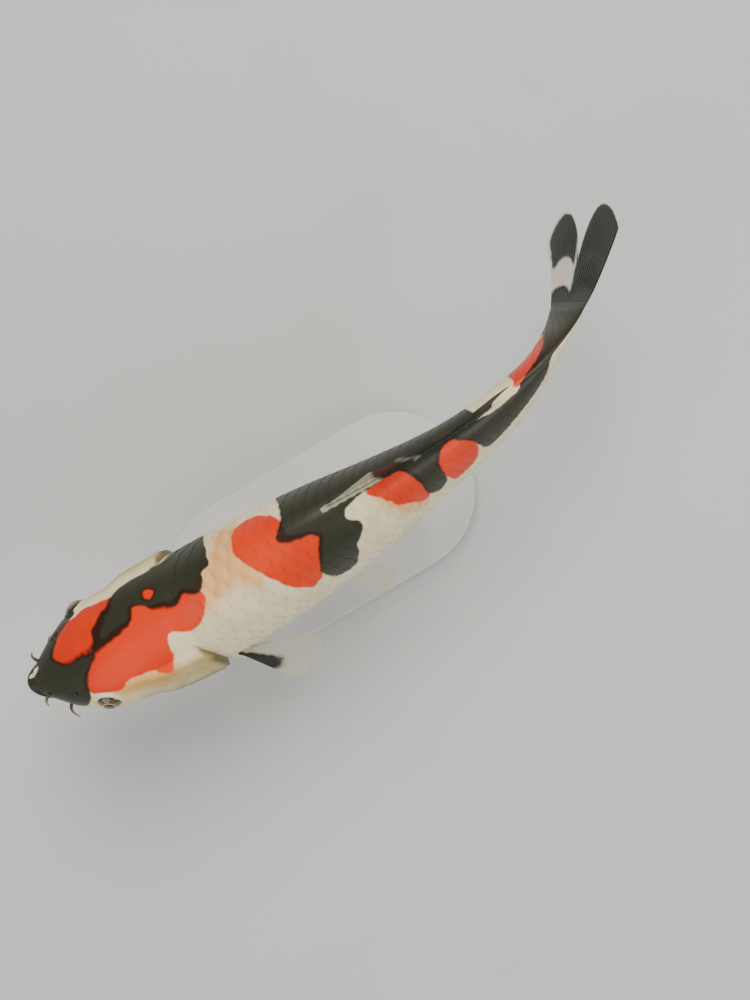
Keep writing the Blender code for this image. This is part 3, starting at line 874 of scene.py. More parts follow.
class KoiPattern(Effect):
    """Turns the depths of the markings into colour, with edges that wander a little."""

    name = "koi_pattern"
    inputs = (
        *((depth, FLOAT, 0.0) for depth in ("Blush", "Red", "Black", "Belly")),
        ("Edge Softness", FLOAT, 0.5),
        ("White Colour", COLOUR, (0.84, 0.72, 0.44, 1.0)),
        ("Belly Colour", COLOUR, (0.80, 0.73, 0.54, 1.0)),
        ("Blush Colour", COLOUR, (0.86, 0.34, 0.055, 1.0)),
        ("Red Colour", COLOUR, (0.80, 0.040, 0.003, 1.0)),
        ("Deep Red Colour", COLOUR, (0.58, 0.018, 0.002, 1.0)),
        ("Black Colour", COLOUR, (0.005, 0.009, 0.004, 1.0)),
    )
    outputs = (("Colour", COLOUR), ("Black Mask", FLOAT), ("Red Mask", FLOAT))
    broad_wander = (170.0, 2.0, 2.6)
    fine_wander = (700.0, 2.0, 0.5)
    belly_span = (0.38, 0.72)
    blush_softness = 2.6
    blush_strength = 0.85
    cloud_scale = 55.0
    cloud_span = (0.38, 0.66)
    deep_red_strength = 0.55
    black_strength = 0.97

    def wire(self, sheet: NodeSheet, source: Node, sink: Node) -> None:
        """Warps each depth with noise and lays the pigments over each other.

        Args:
            sheet: The group's sheet.
            source: The group's inputs.
            sink: The group's outputs.
        """
        get = source.outputs
        warp = sheet.plus(sheet.wander(*self.broad_wander), sheet.wander(*self.fine_wander))
        soft = get["Edge Softness"]
        hard = sheet.times(soft, -1.0)
        red = sheet.band(sheet.plus(get["Red"], warp), hard, soft)
        black = sheet.band(sheet.minus(get["Black"], warp), hard, soft)
        blush = sheet.band(sheet.plus(get["Blush"], warp), -self.blush_softness, self.blush_softness)
        belly = sheet.band(get["Belly"], *self.belly_span)
        ground = sheet.mix(belly, get["White Colour"], get["Belly Colour"])
        ground = sheet.mix(sheet.times(blush, self.blush_strength), ground, get["Blush Colour"])
        cloud = sheet.band(sheet.noise(self.cloud_scale), *self.cloud_span)
        deep = sheet.times(cloud, self.deep_red_strength)
        colour = sheet.mix(red, ground, sheet.mix(deep, get["Red Colour"], get["Deep Red Colour"]))
        colour = sheet.mix(sheet.times(black, self.black_strength), colour, get["Black Colour"])
        sheet.feed(sink, {"Colour": colour, "Black Mask": black, "Red Mask": red})


class WetFilm(Effect):
    """Fine unevenness and small changes of gloss on soft wet surfaces."""

    name = "wet_film"
    inputs = (("Grain Scale", FLOAT, 900.0), ("Roughness", FLOAT, 0.30), ("Spread", FLOAT, 0.12))
    outputs = (("Height", FLOAT), ("Roughness", FLOAT))
    fine_share = 0.35
    broad_share = 0.65
    broad_noise = (120.0, 2.0)

    def wire(self, sheet: NodeSheet, source: Node, sink: Node) -> None:
        """Mixes two sizes of noise.

        Args:
            sheet: The group's sheet.
            source: The group's inputs.
            sink: The group's outputs.
        """
        get = source.outputs
        fine = sheet.noise(get["Grain Scale"])
        broad = sheet.noise(*self.broad_noise)
        height = sheet.plus(sheet.times(fine, self.fine_share), sheet.times(broad, self.broad_share))
        change = sheet.times(sheet.minus(broad, 0.5), get["Spread"])
        rough = sheet.plus(get["Roughness"], change, clamp=True)
        sheet.feed(sink, {"Height": height, "Roughness": rough})


class SatinGrain(Effect):
    """Orange-peel and specks of a painted or ground surface."""

    name = "satin_grain"
    inputs = (
        ("Base Colour", COLOUR, (0.6, 0.6, 0.6, 1.0)),
        ("Speck Colour", COLOUR, (0.5, 0.5, 0.5, 1.0)),
        ("Scale", FLOAT, 400.0),
        ("Roughness", FLOAT, 0.4),
    )
    outputs = (("Colour", COLOUR), ("Height", FLOAT), ("Roughness", FLOAT))
    ripple_detail = 2.0
    cloud_noise = (18.0, 4.0)
    cloud_span = (0.42, 0.70)
    speck_strength = 0.5
    gloss_change = 0.08

    def wire(self, sheet: NodeSheet, source: Node, sink: Node) -> None:
        """Makes specks, a ripple and the gloss that goes with them.

        Args:
            sheet: The group's sheet.
            source: The group's inputs.
            sink: The group's outputs.
        """
        get = source.outputs
        ripple = sheet.noise(get["Scale"], self.ripple_detail)
        cloud = sheet.noise(*self.cloud_noise)
        specks = sheet.times(sheet.band(cloud, *self.cloud_span), self.speck_strength)
        colour = sheet.mix(specks, get["Base Colour"], get["Speck Colour"])
        rough = sheet.plus(get["Roughness"], sheet.times(cloud, self.gloss_change), clamp=True)
        sheet.feed(sink, {"Colour": colour, "Height": ripple, "Roughness": rough})


class Finish(ABC):
    """A surface's material."""

    name: str

    @abstractmethod
    def wire(self, sheet: NodeSheet, shader: Node) -> None:
        """Places the nodes that feed the shader."""

    def material(self) -> bpy.types.Material:
        """The finish as a material, made the first time it is asked for.

        Returns:
            The material.
        """
        found = bpy.data.materials.get(self.name)
        if found:
            return found
        made = bpy.data.materials.new(self.name)
        made.use_nodes = True
        made.node_tree.nodes.clear()
        sheet = NodeSheet(made.node_tree)
        out = sheet.add("ShaderNodeOutputMaterial")
        shader = sheet.add("ShaderNodeBsdfPrincipled")
        sheet.give(out.inputs["Surface"], shader.outputs["BSDF"])
        self.wire(sheet, shader)
        return made

    def dress(self, obj: Piece) -> None:
        """Gives an object this finish alone."""
        obj.data.materials.clear()
        obj.data.materials.append(self.material())


@dataclass(frozen=True)
class WetFinish(Finish):
    """What the finishes of all soft wet surfaces have in common."""

    name: str
    grain_scale: float
    roughness: float
    relief: float
    relief_strength: float
    specular: float = 0.5
    coat: float = 0.0
    coat_roughness: float = 0.03

    def wet(self, sheet: NodeSheet, shader: Node, colour: Socket, relief: Socket | None = None) -> None:
        """Feeds the shader through a wet film.

        Args:
            sheet: The material's sheet.
            shader: The shader.
            colour: The surface's colour.
            relief: Height that is added to the film's own.
        """
        film = WetFilm().place(sheet, {"Grain Scale": self.grain_scale, "Roughness": self.roughness})
        height = film.outputs["Height"]
        if relief is not None:
            height = sheet.plus(relief, height)
        sheet.feed(shader, {
            "Base Color": colour,
            "Roughness": film.outputs["Roughness"],
            "Normal": sheet.bump(height, self.relief, self.relief_strength),
            "Specular IOR Level": self.specular,
            "Coat Weight": self.coat,
            "Coat Roughness": self.coat_roughness,
        })

    def pattern(self, sheet: NodeSheet, softness: float) -> dict[str, Socket]:
        """Places the koi pattern, fed by the depths stored on the mesh.

        Args:
            sheet: The material's sheet.
            softness: Half the width of a marking's edge in millimetres.

        Returns:
            The pattern's outputs by their names.
        """
        depths = {name.title(): sheet.attribute(name) for name in ("blush", "red", "black", "belly")}
        node = KoiPattern().place(sheet, {**depths, "Edge Softness": softness})
        return {socket.name: socket for socket in node.outputs}


@dataclass(frozen=True)
class SkinFinish(WetFinish):
    """Bare skin of the head and under the scales."""

    name: str = "koi_skin"
    grain_scale: float = 1100.0
    roughness: float = 0.38
    relief: float = 0.00012
    relief_strength: float = 0.5
    specular: float = 0.20
    coat: float = 0.05
    coat_roughness: float = 0.16
    edge_softness: float = 0.45
    cheek: tuple = (0.43, 0.31, 0.085, 1.0)
    mottle_scale: float = 210.0
    mottle_strength: float = 0.90
    mottle_floor: float = 0.36
    # colour of the painted shade in the creases and on the gill covers' lower sides, and of the covers'
    # dark rims
    crease: tuple = (0.030, 0.026, 0.010, 1.0)
    crease_strength: float = 0.85

    def wire(self, sheet: NodeSheet, shader: Node) -> None:
        """Lays the pattern under a wet film, browner on the cheeks, with painted shade in every crease and
        on the gill covers' lower sides and a dark band at the covers' rims.

        Args:
            sheet: The material's sheet.
            shader: The shader.
        """
        pattern = self.pattern(sheet, self.edge_softness)
        plain = sheet.rest(sheet.larger(pattern["Black Mask"], pattern["Red Mask"]))
        mottle = sheet.times(sheet.noise(self.mottle_scale), self.mottle_strength)
        mottle = sheet.plus(mottle, self.mottle_floor)
        brown = sheet.times(sheet.times(sheet.attribute("cheek"), plain), mottle, clamp=True)
        colour = sheet.mix(brown, pattern["Colour"], self.cheek)
        # painted shade in the creases and under the gill covers, and the covers' dark rims
        crease = sheet.times(sheet.attribute("crease"), self.crease_strength)
        self.wet(sheet, shader, sheet.mix(crease, colour, self.crease))


@dataclass(frozen=True)
class ScaleFinish(WetFinish):
    """A scale: the skin's pattern with growth rings, a painted sheen over its middle and a thin dark rim.
    """

    name: str = "koi_scale"
    grain_scale: float = 1300.0
    roughness: float = 0.38
    relief: float = 0.00009
    relief_strength: float = 0.6
    specular: float = 0.22
    coat: float = 0.05
    coat_roughness: float = 0.14
    edge_softness: float = 0.40
    rings: float = 64.0
    ring_height: float = 0.10
    fan: float = 26.0
    fan_height: float = 0.12
    # painted sheen: the pale colour laid over the middle of the white scales
    painted_sheen: tuple = (1.0, 0.88, 0.62, 1.0)
    painted_sheen_span: tuple = (0.50, 0.80)
    painted_sheen_strength: float = 0.22
    rim: tuple = (0.045, 0.035, 0.012, 1.0)
    rim_span: tuple = (0.90, 1.0)
    rim_share: float = 0.60
    rim_strength: float = 0.40
    shade: tuple = (0.20, 0.11, 0.03, 1.0)
    shade_change: float = 0.16
    shade_middle: float = 0.07

    def wire(self, sheet: NodeSheet, shader: Node) -> None:
        """Shades each plate by its place across and along it, with a painted sheen over its middle.

        Args:
            sheet: The material's sheet.
            shader: The shader.
        """
        pattern = self.pattern(sheet, self.edge_softness)
        along, across, tone = (sheet.attribute(name) for name in ("along", "across", "tone"))
        clear_of_black = sheet.rest(pattern["Black Mask"])
        ground = sheet.times(clear_of_black, sheet.rest(pattern["Red Mask"]))
        # painted sheen over the middle of each scale that is neither red nor black
        middle = sheet.rest(sheet.math("ABSOLUTE", across))
        painted_sheen = sheet.times(sheet.times(sheet.band(along, *self.painted_sheen_span), middle), ground)
        light = sheet.mix(sheet.times(painted_sheen, self.painted_sheen_strength), pattern["Colour"], self.painted_sheen)
        rim = sheet.times(sheet.band(along, *self.rim_span), self.rim_strength)
        colour = sheet.mix(rim, light, sheet.mix(self.rim_share, pattern["Colour"], self.rim))
        shade = sheet.plus(sheet.times(sheet.minus(tone, 0.5), self.shade_change), self.shade_middle)
        colour = sheet.mix(sheet.times(shade, clear_of_black, clamp=True), colour, self.shade)
        rings = sheet.times(sheet.wave(along, self.rings), self.ring_height)
        fan = sheet.times(sheet.wave(across, self.fan), self.fan_height)
        self.wet(sheet, shader, colour, sheet.plus(rings, fan))


@dataclass(frozen=True)
class FinFinish(WetFinish):
    """Membrane on fine jointed rays, clear where it is pale and solid where it is black."""

    name: str = "koi_fin"
    grain_scale: float = 900.0
    roughness: float = 0.34
    relief: float = 0.00005
    relief_strength: float = 0.35
    specular: float = 0.25
    pale_membrane: tuple = (0.62, 0.58, 0.40, 1.0)
    pale_ray: tuple = (0.74, 0.68, 0.46, 1.0)
    black_membrane: tuple = (0.006, 0.010, 0.005, 1.0)
    black_ray: tuple = (0.013, 0.018, 0.009, 1.0)
    black_span: tuple = (0.30, 0.70)
    edge_wander: tuple = (420.0, 3.0, 0.5)
    warmth: tuple = (0.66, 0.24, 0.07, 1.0)
    joints: float = 190.0
    joint_span: tuple = (0.55, 0.95)
    joint_colour: tuple = (0.12, 0.10, 0.05, 1.0)
    joint_strength: float = 0.35
    joint_height: float = 0.35
    least_opacity: float = 0.25
    ray_opacity: float = 0.26
    black_opacity: float = 0.64
    root_opacity: float = 0.5
    root_span: tuple = (0.0, 0.16)

    def wire(self, sheet: NodeSheet, shader: Node) -> None:
        """Colours rays and membrane and sets how clear they are.

        Args:
            sheet: The material's sheet.
            shader: The shader.
        """
        ray, ink, reach, warm = (sheet.attribute(name) for name in ("ray", "ink", "reach", "warm"))
        black = sheet.band(sheet.plus(ink, sheet.wander(*self.edge_wander)), *self.black_span)
        joints = sheet.band(sheet.wave(reach, self.joints), *self.joint_span)
        pale = sheet.mix(warm, sheet.mix(ray, self.pale_membrane, self.pale_ray), self.warmth)
        dark = sheet.mix(ray, self.black_membrane, self.black_ray)
        lines = sheet.times(sheet.times(joints, ray), self.joint_strength)
        colour = sheet.mix(lines, sheet.mix(black, pale, dark), self.joint_colour)
        root = sheet.times(sheet.rest(sheet.band(reach, *self.root_span)), self.root_opacity)
        solid = sheet.larger(sheet.times(ray, self.ray_opacity), sheet.times(black, self.black_opacity))
        opacity = sheet.plus(sheet.larger(solid, root), self.least_opacity, clamp=True)
        sheet.feed(shader, {"Alpha": opacity})
        self.wet(sheet, shader, colour, sheet.times(joints, self.joint_height))


@dataclass(frozen=True)
class EyeFinish(Finish):
    """A dark pupil in a thin gold ring and a mottled iris, under a clear wet front.

    Its spans count from the eye's axis (0) to the edge of what the lids leave open (1).
    """

    name: str = "koi_eye"
    roughness: float = 0.12
    coat: float = 1.0
    coat_roughness: float = 0.02
    edge_wander: tuple = (900.0, 3.0, 0.05)
    pupil: tuple = (0.002, 0.002, 0.002, 1.0)
    pupil_edge: tuple = (0.385, 0.405)
    gold: tuple = (0.62, 0.42, 0.12, 1.0)
    gold_start: tuple = (0.40, 0.42)
    gold_end: tuple = (0.46, 0.50)
    iris: tuple = (0.17, 0.11, 0.03, 1.0)
    iris_mottle: tuple = (0.035, 0.025, 0.010, 1.0)
    mottle_noise: tuple = (1500.0, 4.0)
    mottle_span: tuple = (0.35, 0.65)
    rim: tuple = (0.010, 0.009, 0.006, 1.0)
    rim_span: tuple = (0.78, 0.90)

    def wire(self, sheet: NodeSheet, shader: Node) -> None:
        """Colours the ball by the angle from its axis.

        Args:
            sheet: The material's sheet.
            shader: The shader.
        """
        turn = sheet.plus(sheet.attribute("from_axis"), sheet.wander(*self.edge_wander))
        mottle = sheet.band(sheet.noise(*self.mottle_noise), *self.mottle_span)
        iris = sheet.mix(mottle, self.iris, self.iris_mottle)
        gold = sheet.minus(sheet.band(turn, *self.gold_start), sheet.band(turn, *self.gold_end))
        colour = sheet.mix(sheet.band(turn, *self.pupil_edge), self.pupil, iris)
        colour = sheet.mix(gold, colour, self.gold)
        sheet.feed(shader, {
            "Base Color": sheet.mix(sheet.band(turn, *self.rim_span), colour, self.rim),
            "Roughness": self.roughness,
            "Coat Weight": self.coat,
            "Coat Roughness": self.coat_roughness,
        })


@dataclass(frozen=True)
class BarbelFinish(WetFinish):
    """Soft wet feelers, dark at the root and warmer towards the tip."""

    name: str = "koi_barbel"
    grain_scale: float = 1400.0
    roughness: float = 0.35
    relief: float = 0.0001
    relief_strength: float = 0.5
    root: tuple = (0.035, 0.035, 0.018, 1.0)
    tip: tuple = (0.36, 0.21, 0.08, 1.0)
    fade: tuple = (0.1, 0.9)

    def wire(self, sheet: NodeSheet, shader: Node) -> None:
        """Fades the colour along the feeler."""
        along = sheet.band(sheet.attribute("reach"), *self.fade)
        self.wet(sheet, shader, sheet.mix(along, self.root, self.tip))


@dataclass(frozen=True)
class GroundFinish(Finish):
    """A painted or ground surface with its own colours and gloss."""

    name: str
    base: tuple
    speck: tuple
    scale: float
    roughness: float
    metallic: float = 0.0
    relief: float = 0.00004
    relief_strength: float = 0.5

    def wire(self, sheet: NodeSheet, shader: Node) -> None:
        """Feeds the shader with the grain.

        Args:
            sheet: The material's sheet.
            shader: The shader.
        """
        values = {"Base Colour": self.base, "Speck Colour": self.speck, "Scale": self.scale}
        grain = SatinGrain().place(sheet, {**values, "Roughness": self.roughness}).outputs
        sheet.feed(shader, {
            "Base Color": grain["Colour"],
            "Roughness": grain["Roughness"],
            "Normal": sheet.bump(grain["Height"], self.relief, self.relief_strength),
            "Metallic": self.metallic,
        })


@dataclass(frozen=True)
class Seam:
    """A bowed seam between two plates of the head, from the crown down each side."""

    row: float
    bow: float
    middle: float
    depth: float
    width: float
    upper_fade: tuple
    lower_fade: tuple

    def cut(self, row: Array, size: Array) -> Array:
        """Depth of the seam."""
        line = self.row - self.bow * (size - self.middle) ** 2
        return self.depth * hump(row - line, self.width) * plateau(size, self.upper_fade, self.lower_fade)


@dataclass(frozen=True)
class HeadShade:
    """Where the head is painted darker: painted shade in its creases, pits and gill openings and on the
    gill covers' lower sides, a dark band at the covers' rear rims, and browner colour on the cheeks.
    """

    opening_step: float = 0.0024
    opening_width: float = 0.0026
    opening_top: tuple = (GillCover.top - 0.1, GillCover.top + 0.15)
    rim_width: float = 0.0054
    rim_top: tuple = (0.96, 1.25)
    rim_end: float = 0.002
    lower_shade_top: tuple = (1.44, 1.66)
    lower_shade_bottom: tuple = (1.78, 2.50)
    lower_shade_rows: tuple = (0.105, 0.170)
    lower_shade_strength: float = 0.58
    mouth_share: float = 0.7
    nostril_depth: float = 0.0007
    cheek_top: tuple = (GillCover.top - 0.02, GillCover.top + 0.20)
    cheek_bottom: tuple = (2.00, 2.75)
    cheek_rows: tuple = (0.070, 0.205)


@dataclass
class Skin:
    """One skin from the lips to the root of the tail fin."""

    body: BodyForm
    cover: GillCover = GillCover()
    mouth: Mouth = Mouth()
    eye: EyeSocket = EyeSocket()
    nostril: Nostril = Nostril()
    shade: HeadShade = HeadShade()
    columns: int = 256
    row_counts: tuple = (62, 120, 34, 124)
    first_root: float = 0.002
    lips_end: float = 0.050
    opening_span: tuple = (-0.012, 0.008)
    last_row: float = 0.880
    head_depth: float = 0.00012
    body_depth: float = 0.00045
    coat_start: tuple = (-0.001, 0.016)
    seams: tuple = (
        Seam(0.188, 0.020, 1.75, 0.00028, 0.0022, (GillCover.top + 0.05, GillCover.top + 0.25), (2.2, 2.6)),
        Seam(0.142, 0.018, 1.55, 0.00018, 0.0026, (0.95, 1.15), (2.1, 2.5)),
    )
    lower_seam: tuple = (2.12, 1.2, 0.20)
    lower_seam_rows: tuple = (0.178, 0.195)
    lower_seam_width: float = 0.035
    lower_seam_depth: float = 0.00026
    opening_depth: float = 0.00050
    opening_step: float = 0.0038
    opening_width: float = 0.0026
    opening_top: tuple = (GillCover.top - 0.02, GillCover.top + 0.22)

    def rows(self) -> Array:
        """Rows of the skin: fine over the head and finest at the lips and the gill opening.

        Returns:
            Shares of the length at the widest angle.
        """
        start, end = (self.cover.rear + step for step in self.opening_span)
        lips, head, opening, trunk = self.row_counts
        return np.concatenate([
            np.linspace(self.first_root, math.sqrt(self.lips_end), lips, endpoint=False) ** 2,
            np.linspace(self.lips_end, start, head, endpoint=False),
            np.linspace(start, end, opening, endpoint=False),
            np.linspace(end, self.last_row, trunk),
        ])

    def lift(self, row: Array, share: Array, angle: Array) -> Array:
        """Height of the skin over the smooth body.

        Args:
            row: Rows of the skin.
            share: Shares of the length there.
            angle: Angles round the section.

        Returns:
            Heights in metres.
        """
        point = self.body.flat(share, angle)
        folded = folded_left(point)
        centre = self.body.flat(self.eye.share, self.eye.angle)
        from_eye = np.linalg.norm(folded - centre, axis=-1)
        coated = ease(row, *(self.cover.rear + step for step in self.coat_start))
        depth = self.head_depth + (self.body_depth - self.head_depth) * coated
        depth = depth * self.body.slimness(share)
        lift = self.cover.lift(row, angle) - depth
        lift += self.eye.lift(from_eye)
        lift += self.nostril.lift(self.body, folded)
        lift += self.mouth.lift(point)
        lift += self.furrows(row, np.abs(angle))
        return lift

    def furrows(self, row: Array, size: Array) -> Array:
        """Seams of the head's plates and the groove of the gill opening.

        Args:
            row: Rows of the skin.
            size: Angles from the back, whichever the side.

        Returns:
            Heights in metres, all at or below zero.
        """
        seam = sum(seam.cut(row, size) for seam in self.seams)
        start_angle, slope, start_row = self.lower_seam
        lower = hump(size - start_angle - slope * (row - start_row), self.lower_seam_width)
        lower = lower * ease(row, *self.lower_seam_rows) * (row < self.cover.rear)
        seam += self.lower_seam_depth * lower
        opening = self.opening_depth * hump(row - self.cover.rear - self.opening_step, self.opening_width)
        return -seam - opening * ease(size, *self.opening_top)

    def crease(self, row: Array, angle: Array, point: Array) -> Array:
        """How much painted shade points get in the mouth's crease, a nostril or the gill opening and on the
        gill covers' lower sides, and how dark the covers' rear rims are.

        Args:
            row: Rows of the skin.
            angle: Angles round the section.
            point: Points of the straight fish there.

        Returns:
            1 in a crease or on a rim and 0 on open skin.
        """
        shade, rear, size = self.shade, self.cover.rear, np.abs(angle)
        # painted shade in the groove of the gill opening
        opening = hump(row - rear - shade.opening_step, shade.opening_width)
        opening = opening * ease(size, *shade.opening_top)
        # painted shade on the lower side of each gill cover
        edge = plateau(size, shade.lower_shade_top, shade.lower_shade_bottom)
        edge = edge * ease(row, *shade.lower_shade_rows) * (row < rear)
        # a dark band along each gill cover's rear rim
        rim = hump(row - rear, shade.rim_width) * ease(size, *shade.rim_top)
        rim = rim * (row < rear + shade.rim_end)
        # painted shade in the mouth's crease and in the nostrils' pits
        mouth = np.clip(-self.mouth.lift(point) / (self.mouth.crease * shade.mouth_share), 0.0, 1.0)
        nose = np.clip(-self.nostril.lift(self.body, folded_left(point)) / shade.nostril_depth, 0.0, 1.0)
        return np.max([opening, shade.lower_shade_strength * edge, rim, mouth, nose], axis=0)

    def cheek(self, row: Array, angle: Array) -> Array:
        """How far points lie on the scaleless side of the head, which is browner than the back.

        Args:
            row: Rows of the skin.
            angle: Angles round the section.

        Returns:
            1 on the cheek and 0 off it.
        """
        shade = self.shade
        sides = plateau(np.abs(angle), shade.cheek_top, shade.cheek_bottom)
        return sides * ease(row, *shade.cheek_rows) * (row < self.cover.rear + shade.rim_end)

    def surface(self, row: Array, angle: Array) -> Array:
        """Points of the finished skin of the straight fish.

        Args:
            row: Rows of the skin.
            angle: Angles round the section.

        Returns:
            The points.
        """
        share = self.cover.place(row, angle)
        point = self.body.lifted(share, angle, self.lift(row, share, angle))
        point[..., 0] += self.mouth.shift(self.body.flat(share, angle))
        return point

    def build(self, marks: MarkingMap) -> Piece:
        """Makes the skin and the attributes and map that its finish needs.

        Args:
            marks: The markings.

        Returns:
            The skin's object.
        """
        rows = self.rows()
        row, angle = np.meshgrid(rows, round_angles(self.columns) - math.pi, indexing="ij")
        points = self.body.posed(self.surface(row, angle))
        faces = grid_quads(len(rows), self.columns, closed=True).tolist()
        faces.append(list(reversed(range(self.columns))))
        faces.append(list(range((len(rows) - 1) * self.columns, len(rows) * self.columns)))
        skin = make_object("skin", points, faces)
        share = self.cover.place(row, angle)
        marks.paint(skin, share, angle)
        # the painted shade of the creases and gill covers, with the covers' dark rims, stored for the
        # finish
        store(skin, "crease", self.crease(row, angle, self.body.flat(share, angle)))
        store(skin, "cheek", self.cheek(row, angle))
        self.unwrap(skin, rows)
        SkinFinish().dress(skin)
        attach(skin, "root")
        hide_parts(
            "head", "gill_cover_left", "gill_cover_right", "upper_lip", "lower_lip",
            "trunk_front", "trunk_rear", "tail_stem",
        )
        return skin

    def unwrap(self, skin: Piece, rows: Array) -> None:
        """Lays the skin out flat, parted along the belly.

        Args:
            skin: The skin's object.
            rows: Its rows.
        """
        layer = skin.data.uv_layers.new(name=BAKE_MAP)
        row, column = np.meshgrid(np.arange(len(rows) - 1), np.arange(self.columns), indexing="ij")
        corner_column = np.stack([column, column + 1, column + 1, column], axis=-1)
        corner_row = np.stack([row, row, row + 1, row + 1], axis=-1)
        u = corner_column / self.columns
        v = rows[corner_row] / self.last_row * BAKE_SHARE + BAKE_MARGIN
        uv = np.stack([u, v], axis=-1).reshape(-1, 2)
        cap = np.tile([BAKE_EDGE, BAKE_EDGE], (2 * self.columns, 1))
        layer.data.foreach_set("uv", np.concatenate([uv, cap]).astype(np.float32).ravel())


@dataclass
class ScaleCoat:
    """Rows of overlapping scales behind the head, in rows that run beside the line of the back."""

    body: BodyForm
    cover: GillCover
    first_row: float = 0.2435
    last_row: float = 0.858
    widest_pitch: float = 0.0039
    widest_spacing: float = 0.0049
    overlap: float = 1.75
    across: int = 13
    along: int = 7
    thickness: float = 0.00012
    root_lift: float = -0.00052
    rim_lift: float = -0.00009
    dome: float = 0.00015
    pitch_power: float = 0.30
    spacing_power: float = 0.58
    fullest_share: float = 0.40
    girth_points: int = 241
    belly_allowance: float = 0.15
    width: float = 0.99
    tip_round: float = 0.80
    root_narrowing: float = 0.10
    run_power: float = 0.85
    tip_fullness: float = 0.97
    lift_power: float = 0.75
    dome_growth: tuple = (0.4, 0.6)
    sharp_angle: float = 50.0
    bare_span: tuple = (0.434, 0.703)
    split_row: float = 0.49075

    def girth(self, share: float) -> tuple[Array, Array]:
        """Distances over the skin from the back down one side.

        Args:
            share: A share of the length.

        Returns:
            Angles and the distances there in metres.
        """
        angle = np.linspace(0.0, math.pi, self.girth_points)
        parts = np.linalg.norm(np.diff(self.body.flat(share, angle), axis=0), axis=-1)
        return angle, np.concatenate([[0.0], np.cumsum(parts)])

    def lattice(self) -> list[tuple[float, float, float, float]]:
        """Roots of all scales.

        Returns:
            For each scale its row, its line's number, and its length and spacing in metres.
        """
        fullest = self.girth(self.fullest_share)[1][-1]
        places, row, step = [], self.first_row, 0
        while row < self.last_row:
            half_girth = self.girth(row)[1][-1]
            ratio = half_girth / fullest
            pitch = self.widest_pitch * ratio**self.pitch_power
            spacing = self.widest_spacing * ratio**self.spacing_power
            lines = int(half_girth / spacing + self.belly_allowance)
            for line in range(-lines, lines + 1):
                if (line + step) % 2 == 0 and self.wanted(row, line):
                    places.append((row, line, pitch * self.overlap, spacing))
            row += pitch / 2 / self.body.length
            step += 1
        return places

    def wanted(self, row: float, line: int) -> bool:
        """Whether a scale stands at a row and line: none do along the foot of the fin of the back."""
        start, end = self.bare_span
        return line != 0 or not start < row < end

    def plate(self, row: float, line: float, length: float, spacing: float) -> tuple[Array, ...]:
        """One scale's upper face.

        Args:
            row: The root's row.
            line: Number of the scale's line, from the back.
            length: The scale's length.
            spacing: Distance between lines.

        Returns:
            Shares, angles, heights, and places along and across, each for a grid of points.
        """
        a = np.sin(np.linspace(-1.0, 1.0, self.across) * math.pi / 2)[None, :]
        b = np.linspace(0.0, 1.0, self.along)[:, None] ** self.run_power
        drawn_in = 1.0 - np.sqrt(np.clip(1.0 - a**2 * self.tip_fullness, 0.0, 1.0))
        rear = length - spacing * self.width * self.tip_round * drawn_in
        run = b * rear
        here = row + run / self.body.length
        narrow = 1.0 - self.root_narrowing * (1.0 - b) ** 2
        spread = (line + a * self.width * narrow) * spacing
        angle_table, girth_table = self.girth(row + length / 2 / self.body.length)
        end_girth = self.girth(row + length / self.body.length)[1][-1]
        start_girth = self.girth(row)[1][-1]
        shrink = (end_girth / start_girth) ** self.spacing_power
        spread = spread * (1.0 + (shrink - 1.0) * run / length)
        total = girth_table[-1]
        size = np.abs(spread)
        beyond = size > total
        angle = np.interp(np.where(beyond, 2.0 * total - size, size), girth_table, angle_table)
        angle = np.where(beyond, 2.0 * math.pi - angle, angle) * np.sign(spread)
        share = self.cover.place(here, angle)
        lift = self.root_lift + (self.rim_lift - self.root_lift) * b**self.lift_power
        dome = self.dome * a**2 * (self.dome_growth[0] + self.dome_growth[1] * b)
        lift = (lift - dome) * self.body.slimness(share)
        full = np.broadcast_arrays(share, angle, lift, run / length, a)
        return tuple(np.array(x) for x in full)

    def build(self, marks: MarkingMap) -> list[Piece]:
        """Makes the coat as four joined pieces.

        Args:
            marks: The markings.

        Returns:
            The coat's objects.
        """
        chance = np.random.default_rng(SEED)
        places = self.lattice()
        tones = chance.random(len(places))
        pieces = []
        for side in Side:
            for word, low, high in (("front", 0.0, self.split_row), ("rear", self.split_row, 1.0)):
                chosen = [
                    (place, tone) for place, tone in zip(places, tones)
                    if low <= place[0] < high and (place[1] >= 0) == (side is Side.LEFT)
                ]
                pieces.append(self.piece(f"scales_{word}_{side.word}", chosen, marks))
        return pieces

    def piece(self, name: str, chosen: list, marks: MarkingMap) -> Piece:
        """Joins scales into one mesh.

        Args:
            name: The piece's name.
            chosen: The scales' places and tones.
            marks: The markings.

        Returns:
            The piece.
        """
        count = len(chosen)
        upper = np.array([np.stack(self.plate(*place), axis=-1) for place, _ in chosen])
        upper = upper.reshape(count, self.along * self.across, -1)
        lower = upper.copy()
        lower[..., 2] -= self.thickness
        both = np.concatenate([upper, lower], axis=1)
        share, angle, lift, along, across = np.moveaxis(both, -1, 0)
        points = self.body.posed(self.body.lifted(share, angle, lift))
        faces = sheet_faces(self.along, self.across)
        size = both.shape[1]
        all_faces = (faces[None] + (np.arange(count) * size)[:, None, None]).reshape(-1, 4)
        obj = make_object(name, points, all_faces.tolist(), self.sharp_angle)
        marks.paint(obj, share, angle)
        store(obj, "along", along)
        store(obj, "across", across)
        store(obj, "tone", np.repeat([tone for _, tone in chosen], size))
        self.unwrap(obj, chosen, both, all_faces)
        ScaleFinish().dress(obj)
        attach(obj, "root")
        return obj

